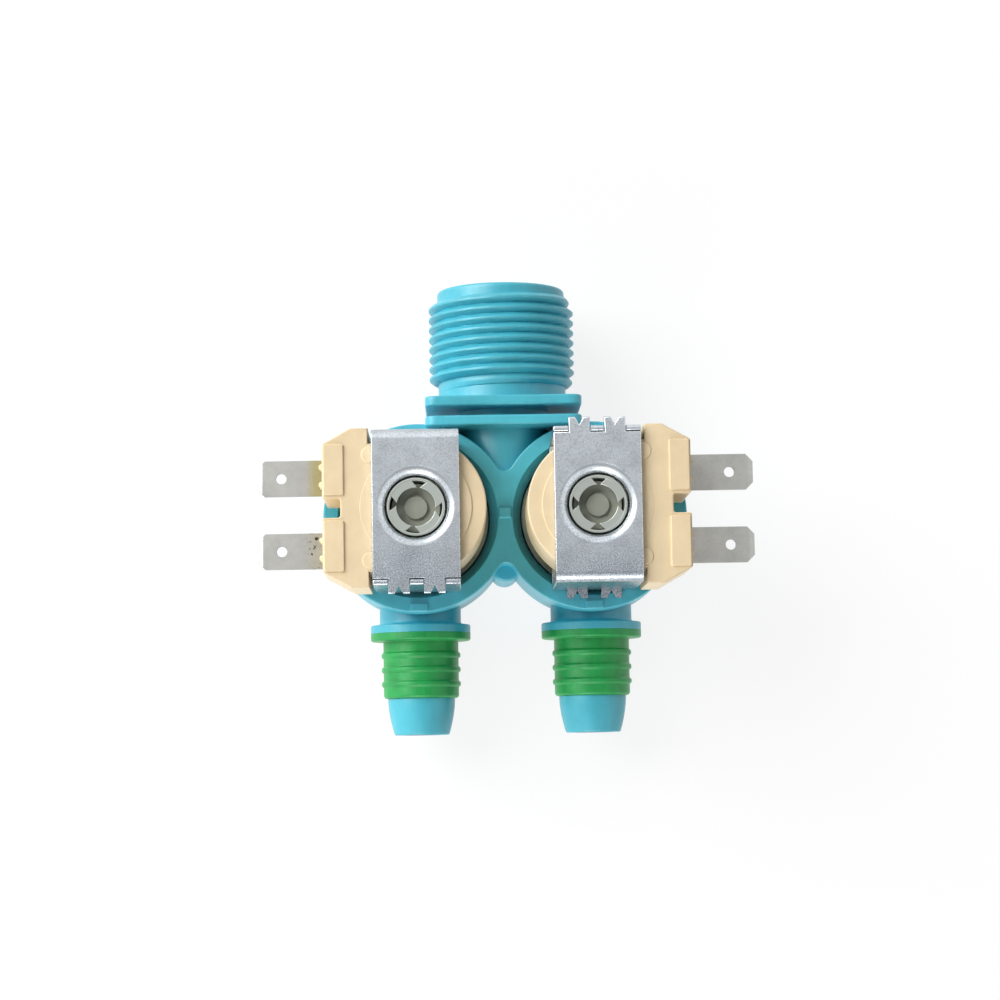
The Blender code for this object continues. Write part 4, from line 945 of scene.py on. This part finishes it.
def yoke_blank(edge):
    """Steel angle with two staked teeth, notches and a flared pole hole."""
    plate_end = -YOKE_HALF + SHEET + TOOTH_SPREAD
    tip = -YOKE_HALF - TOOTH_LENGTH
    depth = YOKE_FRONT_Z - YOKE_BACK_Z
    half = YOKE_WIDTH / 2
    centre = (YOKE_HALF - YOKE_BEND, -YOKE_BEND)
    foot = YOKE_END - depth
    side_view = arc((tip + 0.3, -0.3), 0.3, 180, 90, 3) + arc(centre, YOKE_BEND, 90, 0, 12)
    side_view += arc((YOKE_HALF - YOKE_END, foot), YOKE_END, 0, -90, 4)
    side_view += arc((YOKE_HALF - SHEET + YOKE_END, foot), YOKE_END, -90, -180, 4)
    side_view += arc(centre, YOKE_BEND - SHEET, 0, 90, 10) + [(tip, -SHEET)]
    across = Matrix(((0, 0, 1, 0), (1, 0, 0, 0), (0, 1, 0, 0), (0, 0, 0, 1)))
    blank = prism("yoke", side_view, -half, half, edge, across)
    root = TOOTH_HALF
    crown = TOOTH_HALF + TOOTH_SPREAD
    split = 1.03
    beside = half + 1
    outline = [(beside, tip - 1), (beside, plate_end)]
    notches = []
    for x in (TOOTH_X, -TOOTH_X):
        outline += [(x + root, plate_end), (x + crown, tip - 0.5), (x + split, tip - 0.5), (x, tip + 1.35)]
        outline += [(x - split, tip - 0.5), (x - crown, tip - 0.5), (x - root, plate_end)]
        low = (x - crown - TOOTH_SPREAD, YOKE_HALF - SHEET - 1, -depth - 1)
        high = (x + crown + TOOTH_SPREAD, YOKE_HALF + 1, -depth + SHEET + TOOTH_SPREAD)
        notches.append(("-", block("notch", low, high)))
    outline += [(-beside, plate_end), (-beside, tip - 1)]
    levels = [(0.0, -SHEET - 1)] + [(-rise, -run) for run, rise in quarter(edge)] + [(-edge, 1.0)]
    funnel = [(0.0, 1.0), (7.9, 1.0)] + arc((POLE_HOLE + FUNNEL, -FUNNEL), FUNNEL, 84, 180, 12)
    return carve(
        blank, ("-", loft("teeth", outline, levels)), *notches,
        ("+", rod("lip", LIP_RADIUS, (0, 0, -SHEET - 0.8), (0, 0, -SHEET / 2), 96)),
        ("-", lathe("funnel", funnel + [(POLE_HOLE, -2.8), (0.0, -2.8)], 96)))


class VALVE_OT_yokes(bpy.types.Operator):
    """Front and back sheet-steel yokes of both solenoids"""
    bl_idname = "valve.yokes"
    bl_label = "Yokes"

    def execute(self, context):
        finish = zinc_finish(context.scene.valve_colours.zinc)
        blank = yoke_blank(mm(context.scene.valve_sizes.sheet_round))
        middle = shift(0, 0, (YOKE_FRONT_Z + YOKE_BACK_Z) / 2)
        front = shift(0, 0, YOKE_FRONT_Z)
        back = middle @ Matrix.Rotation(pi, 4, "X") @ middle.inverted() @ front
        for end, place in (("front", front), ("back", back)):
            plate = copy_of(blank, "plate", place)
            finish_sides(plate, f"yoke_plate_{end}", finish, f"yoke_{end}")
        bpy.data.objects.remove(blank)
        return {"FINISHED"}


class VALVE_OT_bushes(bpy.types.Operator):
    """Rolled bushes with four tabs folded in over the armature guides"""
    bl_idname = "valve.bushes"
    bl_label = "Pole bushes"

    def execute(self, context):
        finish = bush_finish()
        turn = context.scene.valve_sizes.petal_turn
        low = BUSH_TOP - BUSH_DEPTH
        wall = [(BUSH_BORE, low), (BUSH_RADIUS, low), (BUSH_RADIUS, BUSH_TOP), (BUSH_BORE, BUSH_TOP)]
        root, tip = (degrees(asin(PETAL_HALF / radius)) for radius in (PETAL_OUTER, PETAL_INNER))
        outline = arc((0, 0), PETAL_OUTER, -root, root, 10) + arc((0, 0), PETAL_INNER, tip, -tip, 14)
        for side in SIDES:
            bush = lathe("bush", rounded(wall, 0.12, 3), 96)
            petal = prism("petal", outline, BUSH_TOP - 0.5, BUSH_TOP - 0.04, 0.14)
            first = pi / 4 + turn + SIDES[side] * TURN_DIFFERENCE
            repeat(petal, finish, 4, pi / 2, first)
            carve(bush, ("+", petal))
            bush.data.transform(unit_place(side))
            finish_piece(bush, f"pole_bush_{side}", finish, [f"bush_front_{side}"])
        return {"FINISHED"}


class VALVE_OT_guides(bpy.types.Operator):
    """Armature guides, whose closed ends show inside the pole bushes"""
    bl_idname = "valve.guides"
    bl_label = "Armature guides"

    def execute(self, context):
        finish = plastic("guide_plastic", (0.42, 0.44, 0.36), 0.85, 0.45, 300.0, 2200.0, 0.25)
        smooth = rounded(GUIDE_PROFILE, 0.25, 4, (1, 3, 5, 7))
        finish_sides(lathe("guide", smooth, 96), "armature_tube", finish, "armature_guide")
        return {"FINISHED"}


def block_outline():
    """Terminal block with its notch and sloping corners."""
    corner_x, corner_y = 4.9, 2.7
    root, step, step_y = BLOCK_ROOT
    deep, notch_y = BLOCK_NOTCH
    half = [
        (root, step_y), (step, step_y), (step, BLOCK_HALF), (BLOCK_X + corner_x, BLOCK_HALF),
        (BLOCK_X, BLOCK_HALF - corner_y), (BLOCK_X, notch_y), (BLOCK_X + deep, notch_y),
    ]
    return rounded(half + [(x, -y) for x, y in reversed(half)], 0.5, 5, range(3, 11))


class VALVE_OT_coils(bpy.types.Operator):
    """Cream overmoulded coils with their terminal blocks"""
    bl_idname = "valve.coils"
    bl_label = "Coils"

    def execute(self, context):
        finish = plastic("coil_resin", context.scene.valve_colours.resin, 0.9, 0.42, 220.0, 1800.0, 0.3)
        shoulder = COIL_FRONT - COIL_STEP
        barrel = [
            (0.0, COIL_FRONT), (COIL_FACE, COIL_FRONT), (COIL_FACE, shoulder), (COIL_RADIUS, shoulder),
            (COIL_RADIUS, COIL_BACK), (0.0, COIL_BACK),
        ]
        case = lathe("case", rounded(barrel, 0.3, 4, (1, 3, 4)), 128)
        steps = [("+", prism("block", block_outline(), BLOCK_BACK, BLOCK_FRONT, 0.3))]
        for i in (-1, 1):
            low_y, high_y = sorted((i * 2.2, i * 10.9))
            low = (BLOCK_X + 0.25, low_y, BLOCK_FRONT - 1)
            high = (BLOCK_X + 3.7, high_y, BLOCK_FRONT + 0.4)
            bump_place = shift(-7.8, i * 9.1, 0)
            steps += [
                ("+", block("pad", low, high, 0.2, 0.35)),
                ("+", stud("bump", BUMP_RADIUS, low[2], BLOCK_FRONT + 0.2, (0.2, 5), 48, bump_place)),
            ]
            blade_y = i * BLADE_PITCH / 2
            for j in (-1, 1):
                nib_place = shift(BLOCK_X - 0.4, blade_y + j * NIB_Y, 0)
                steps.append(("+", stud("nib", NIB_RADIUS, BLADE_Z + 0.7, NIB_TOP, (0.25, 4), 32, nib_place)))
            low = (BLOCK_X - 1, blade_y - BLADE_HALF - GAP, BLADE_Z - 0.65)
            high = (BLOCK_X + 3.25, blade_y + BLADE_HALF + GAP, BLADE_Z + 0.65)
            steps.append(("-", block("slot", low, high)))
        back_wall, front_wall = COIL_BACK + WINDING_WALL, COIL_FRONT - WINDING_WALL
        mouth = COIL_BORE + 0.3
        space = [
            (0.0, COIL_FRONT + 1), (mouth, COIL_FRONT + 1), (mouth, COIL_FRONT),
            (COIL_BORE, COIL_FRONT - 0.3), (COIL_BORE, front_wall), (WINDING_RADIUS, front_wall),
            (WINDING_RADIUS, back_wall), (COIL_BORE, back_wall), (COIL_BORE, COIL_BACK - 1),
            (0.0, COIL_BACK - 1),
        ]
        carve(case, *steps, ("-", lathe("space", space, 96)))
        finish_sides(case, "coil_body", finish, "coil_case", angle=28)
        return {"FINISHED"}


class VALVE_OT_blades(bpy.types.Operator):
    """Flat blade terminals with bevelled tips and latch holes"""
    bl_idname = "valve.blades"
    bl_label = "Blades"

    def execute(self, context):
        finish = blade_finish(context.scene.valve_colours.blade)
        root = BLOCK_X + 3.0
        tip = -BLADE_TIP
        corner = 1.3
        half = [(root, BLADE_HALF), (tip + corner, BLADE_HALF), (tip, BLADE_HALF - corner)]
        outline = [(x, -y) for x, y in half[:1]] + half + [(x, -y) for x, y in reversed(half[1:])]
        low, high = BLADE_Z - BLADE_THICK / 2, BLADE_Z + BLADE_THICK / 2
        blade = prism("blade", outline, low, high)
        steps = []
        for face_z, into in ((low, 1), (high, -1)):
            end = tip + BEVEL_LENGTH * (1 + 1 / BEVEL_SLOPE)
            rise = into * BEVEL_SLOPE * (1 + 1 / BEVEL_LENGTH)
            wedge = [(tip - 1, -into), (end, -into), (tip - 1, rise)]
            upright = shift(0, 0, face_z) @ Matrix.Rotation(pi / 2, 4, "X")
            steps.append(("-", prism("bevel", wedge, -6, 6, 0.0, upright)))
        hole_x = tip + 4.2
        steps.append(("-", rod("hole", BLADE_HOLE, (hole_x, 0, BLADE_Z - 2), (hole_x, 0, BLADE_Z + 2), 48)))
        soften(carve(blade, *steps), 0.07, 15)
        for index, y in ((1, BLADE_PITCH / 2), (2, -BLADE_PITCH / 2)):
            spade = copy_of(blade, "spade", shift(0, y, 0))
            finish_sides(spade, f"blade_{index}", finish, f"terminal_{index}")
        bpy.data.objects.remove(blade)
        return {"FINISHED"}


class VALVE_OT_strainer(bpy.types.Operator):
    """Inlet strainer: rim, ribs, end cup and a fine woven screen"""
    bl_idname = "valve.strainer"
    bl_label = "Inlet strainer"

    def execute(self, context):
        finish = plastic("strainer_plastic", (0.80, 0.80, 0.78), 0.92, 0.42, 300.0, 2400.0, 0.2)
        wire = mm(context.scene.valve_sizes.screen_wire)
        top = NECK_REACH - 1
        end = STRAINER_END
        rim = [(7.5, -1.9), (8.4, -1.9), (8.4, -1.2), (9.35, -1.2), (9.35, 0.0), (7.5, 0.0)]
        cup = [(0.0, 0.0), (7.95, 0.0), (8.2, 2.0), (7.3, 2.0), (7.05, 0.9), (0.0, 0.9)]
        basket = lathe("basket", rounded(rim, 0.15, 3), 96, shift(0, 0, top))
        rib = block("rib", (7.2, -0.75, end + 0.6), (8.2, 0.75, top - 1.0), 0.1, 0.15)
        repeat(rib, finish, 6, pi / 3, pi / 6)
        cup = lathe("cup", rounded(cup, 0.15, 3, (1, 2, 3)), 96, shift(0, 0, end))
        carve(basket, ("+", cup), ("+", rib))
        upright = rod("upright", wire, (SCREEN_RADIUS, 0, end + 1.2), (SCREEN_RADIUS, 0, top - 1.5), 6)
        repeat(upright, finish, 72, pi / 36)
        angles = [k * pi / 3 for k in range(6)]
        ring = [(SCREEN_RADIUS + wire * cos(a), end + 1.4 + wire * sin(a)) for a in angles]
        hoop = lathe("hoop", ring, 72)
        repeat(hoop, finish, 14, step=(0.0, 0.0, HOOP_PITCH))
        parts = [basket, upright, hoop]
        with context.temp_override(active_object=basket, selected_editable_objects=parts, object=basket):
            bpy.ops.object.join()
        basket.data.transform(inlet_place())
        finish_piece(basket, "strainer_basket", finish, ["inlet_strainer"])
        return {"FINISHED"}


def coil_spring(name, turns):
    """Compression spring with closed end coils."""
    steps, around = 20, 8
    wire = SPRING_WIRE
    low, high = SPRING_LOW + wire, SPRING_TOP - wire
    closed_rise = 2.1 * wire
    verts = []
    for i in range(turns * steps + 1):
        turn = i / steps
        closed = closed_rise * (min(turn, 1) + max(turn - turns + 1, 0))
        share = min(max(turn - 1, 0), turns - 2) / (turns - 2)
        height = low + closed + (high - low - 2 * closed_rise) * share
        angle = 2 * pi * turn
        for k in range(around):
            tilt = 2 * pi * k / around
            reach = SPRING_RADIUS + wire * cos(tilt)
            verts.append((reach * cos(angle), reach * sin(angle), height + wire * sin(tilt)))
    return mesh_object(name, verts, ring_faces(around, turns * steps + 1))


class VALVE_OT_soft(bpy.types.Operator):
    """Rubber diaphragms and steel closing springs; the diaphragm webs are not attached to a body"""
    bl_idname = "valve.soft"
    bl_label = "Diaphragms and springs"

    def execute(self, context):
        rubber = plastic("diaphragm_rubber", *RUBBER)
        steel = metal("spring_steel", (0.60, 0.61, 0.63), 0.85, 2600.0, 0.5, 0.25, 0.15)
        web = [(1.9, DISC_TOP), (8.9, DISC_TOP), (8.9, BEAD_TOP), (11.3, BEAD_TOP),
               (11.3, LIP_LOW), (9.5, LIP_LOW), (9.5, DISC_LOW), (1.9, DISC_LOW)]
        bead = [(11.15, BEAD_TOP), (12.65, BEAD_TOP), (12.65, DISC_LOW), (11.15, DISC_LOW)]
        ring = lathe("ring", rounded(bead, 0.4, 4), 96)
        finish_sides(ring, "diaphragm_bead", rubber, "diaphragm")
        sheet = lathe("sheet", rounded(web, 0.25, 4, (1, 2, 5, 6)), 96)
        sheets = finish_sides(sheet, "diaphragm_web", rubber, "diaphragm", body=None)
        for side, sheet in sheets:
            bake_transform(sheet)
        spring = coil_spring("spring", 6)
        springs = finish_sides(spring, "closing_spring", steel, "plunger_spring")
        for side, spring in springs:
            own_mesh(spring)
        return {"FINISHED"}


class VALVE_OT_inside(bpy.types.Operator):
    """Finishes for the pieces that keep their CAD shape"""
    bl_idname = "valve.inside"
    bl_label = "Inner pieces"

    def execute(self, context):
        rubber = plastic("seal_rubber", *RUBBER)
        white = plastic("poppet_plastic", (0.78, 0.78, 0.76), 0.93, 0.45, 300.0, 2400.0, 0.2)
        bobbin = plastic("bobbin_plastic", (0.72, 0.65, 0.52), 0.88, 0.5, 260.0, 2200.0, 0.3)
        steel = metal("plunger_steel", (0.56, 0.56, 0.57), 0.85, 1800.0, 0.6, 0.28, 0.2)
        copper = metal("copper_wire", (0.70, 0.28, 0.12), 0.8, 3000.0, 0.7, 0.32, 0.5)
        finishes = {
            "flow_washer": rubber, "plunger_seal": rubber, "poppet": white, "coil_bobbin": bobbin,
            "plunger": steel, "bush_back": bush_finish(), "coil_winding": copper,
        }
        for name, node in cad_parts.items():
            kind = name.removesuffix("_left").removesuffix("_right")
            if kind in finishes:
                node.data.materials.clear()
                node.data.materials.append(finishes[kind])
        return {"FINISHED"}


# Stage

def floor_finish():
    """Pale floor that shows white and keeps the object's shadow."""
    material = bpy.data.materials.new("studio_floor")
    material.use_nodes = True
    nodes = Nodes(material.node_tree)
    shader = material.node_tree.nodes["Principled BSDF"]
    nodes.feed(shader.inputs, {
        "Base Color": (0.86, 0.86, 0.86, 1.0), "Roughness": 0.9, "Specular IOR Level": 0.1})
    glow = nodes.add("ShaderNodeEmission", {"Color": (1.0, 1.0, 1.0, 1.0), "Strength": FLOOR_GLOW})
    path = nodes.add("ShaderNodeLightPath").outputs
    through = nodes.math("MAXIMUM", path["Is Glossy Ray"], path["Is Transmission Ray"])
    share = nodes.times(nodes.math("MAXIMUM", path["Is Camera Ray"], through), FLOOR_SHARE)
    mix = nodes.add("ShaderNodeMixShader", {0: share, 1: shader.outputs[0], 2: glow.outputs[0]})
    nodes.feed(material.node_tree.nodes["Material Output"].inputs, {"Surface": mix.outputs[0]})
    return material


def studio_world():
    """Soft light from above, brighter in reflections and white to the camera."""
    world = bpy.data.worlds.new("studio")
    world.use_nodes = True
    nodes = Nodes(world.node_tree)
    path = nodes.add("ShaderNodeLightPath").outputs
    where = nodes.add("ShaderNodeTexCoord").outputs["Generated"]
    towards = nodes.add("ShaderNodeSeparateXYZ", {"Vector": where}).outputs
    high = nodes.ramp(towards["Z"], 0.8, 0.96, 1.2, 0.5)
    behind = nodes.ramp(towards["Y"], 0.04, 0.25, 0.5, 1.2)
    strength = nodes.times(path["Is Glossy Ray"], nodes.math("MAXIMUM", high, behind))
    soft = nodes.ramp(towards["Z"], 0.05, 0.8, 2.0 * WORLD_LEVEL, 0.12 * WORLD_LEVEL)
    plain_light = nodes.times(nodes.minus(1.0, path["Is Glossy Ray"]), soft)
    seen = nodes.math("MAXIMUM", path["Is Camera Ray"], path["Is Transmission Ray"])
    total = nodes.math("MAXIMUM", nodes.plus(strength, plain_light), seen)
    nodes.feed(world.node_tree.nodes["Background"].inputs, {"Color": (1.0, 1.0, 1.0, 1.0), "Strength": total})
    return world


def add_lamp(name, place, size, power):
    lamp = bpy.data.lights.new(name, "AREA")
    lamp.shape = "DISK"
    lamp.size = size
    lamp.energy = power
    obj = add_object(name, lamp)
    obj.location = place
    direction = Vector(LAMP_AIM) - Vector(place)
    obj.rotation_euler = direction.to_track_quat("-Z", "Y").to_euler()


class VALVE_OT_stage(bpy.types.Operator):
    """Pale floor, soft lamps and the camera"""
    bl_idname = "valve.stage"
    bl_label = "Stage"

    def execute(self, context):
        scene = context.scene
        floor_z = CAD_BOX[0][2] - 0.0001
        corners = [(x * FLOOR_HALF, y * FLOOR_HALF, floor_z) for x, y in ((-1, -1), (1, -1), (1, 1), (-1, 1))]
        floor = mesh_object("floor", corners, [(0, 1, 2, 3)])
        floor.data.materials.append(floor_finish())
        add_lamp("key", (-0.72, 0.50, 0.64), 1.0, 14.0)
        add_lamp("low", (-0.22, -0.85, 0.40), 0.7, 4.8)
        scene.world = studio_world()
        scene.view_settings.view_transform = "Standard"
        lens = bpy.data.cameras.new("camera")
        lens.lens = 100.8
        lens.sensor_width = 36.0
        lens.clip_start = 0.01
        scene.camera = add_object("camera", lens)
        scene.camera.matrix_world = shift(*CAMERA_PLACE) @ Euler(CAMERA_TURN, "ZYX").to_matrix().to_4x4()
        return {"FINISHED"}


class VALVE_PT_panel(bpy.types.Panel):
    """Sizes, colours and pieces of the inlet valve"""
    bl_idname = "VALVE_PT_panel"
    bl_label = "Inlet valve"
    bl_space_type = "VIEW_3D"
    bl_region_type = "UI"
    bl_category = "Inlet valve"

    def draw(self, context):
        column = self.layout.column()
        for group in (context.scene.valve_sizes, context.scene.valve_colours):
            for name in group.__annotations__:
                column.prop(group, name)
        for operator in PIECES:
            column.operator(operator.bl_idname)


PIECES = (
    VALVE_OT_body, VALVE_OT_sleeves, VALVE_OT_yokes, VALVE_OT_bushes, VALVE_OT_guides, VALVE_OT_coils,
    VALVE_OT_blades, VALVE_OT_strainer, VALVE_OT_soft, VALVE_OT_inside, VALVE_OT_stage,
)
CLASSES = (ValveSizes, ValveColours) + PIECES + (VALVE_PT_panel,)


def register():
    for item in CLASSES:
        bpy.utils.register_class(item)
    bpy.types.Scene.valve_sizes = bpy.props.PointerProperty(type=ValveSizes)
    bpy.types.Scene.valve_colours = bpy.props.PointerProperty(type=ValveColours)


def unregister():
    del bpy.types.Scene.valve_colours
    del bpy.types.Scene.valve_sizes
    for item in reversed(CLASSES):
        bpy.utils.unregister_class(item)


def main():
    register()
    for operator in PIECES:
        group, action = operator.bl_idname.split(".")
        getattr(getattr(bpy.ops, group), action)()


if __name__ == "__main__":
    main()
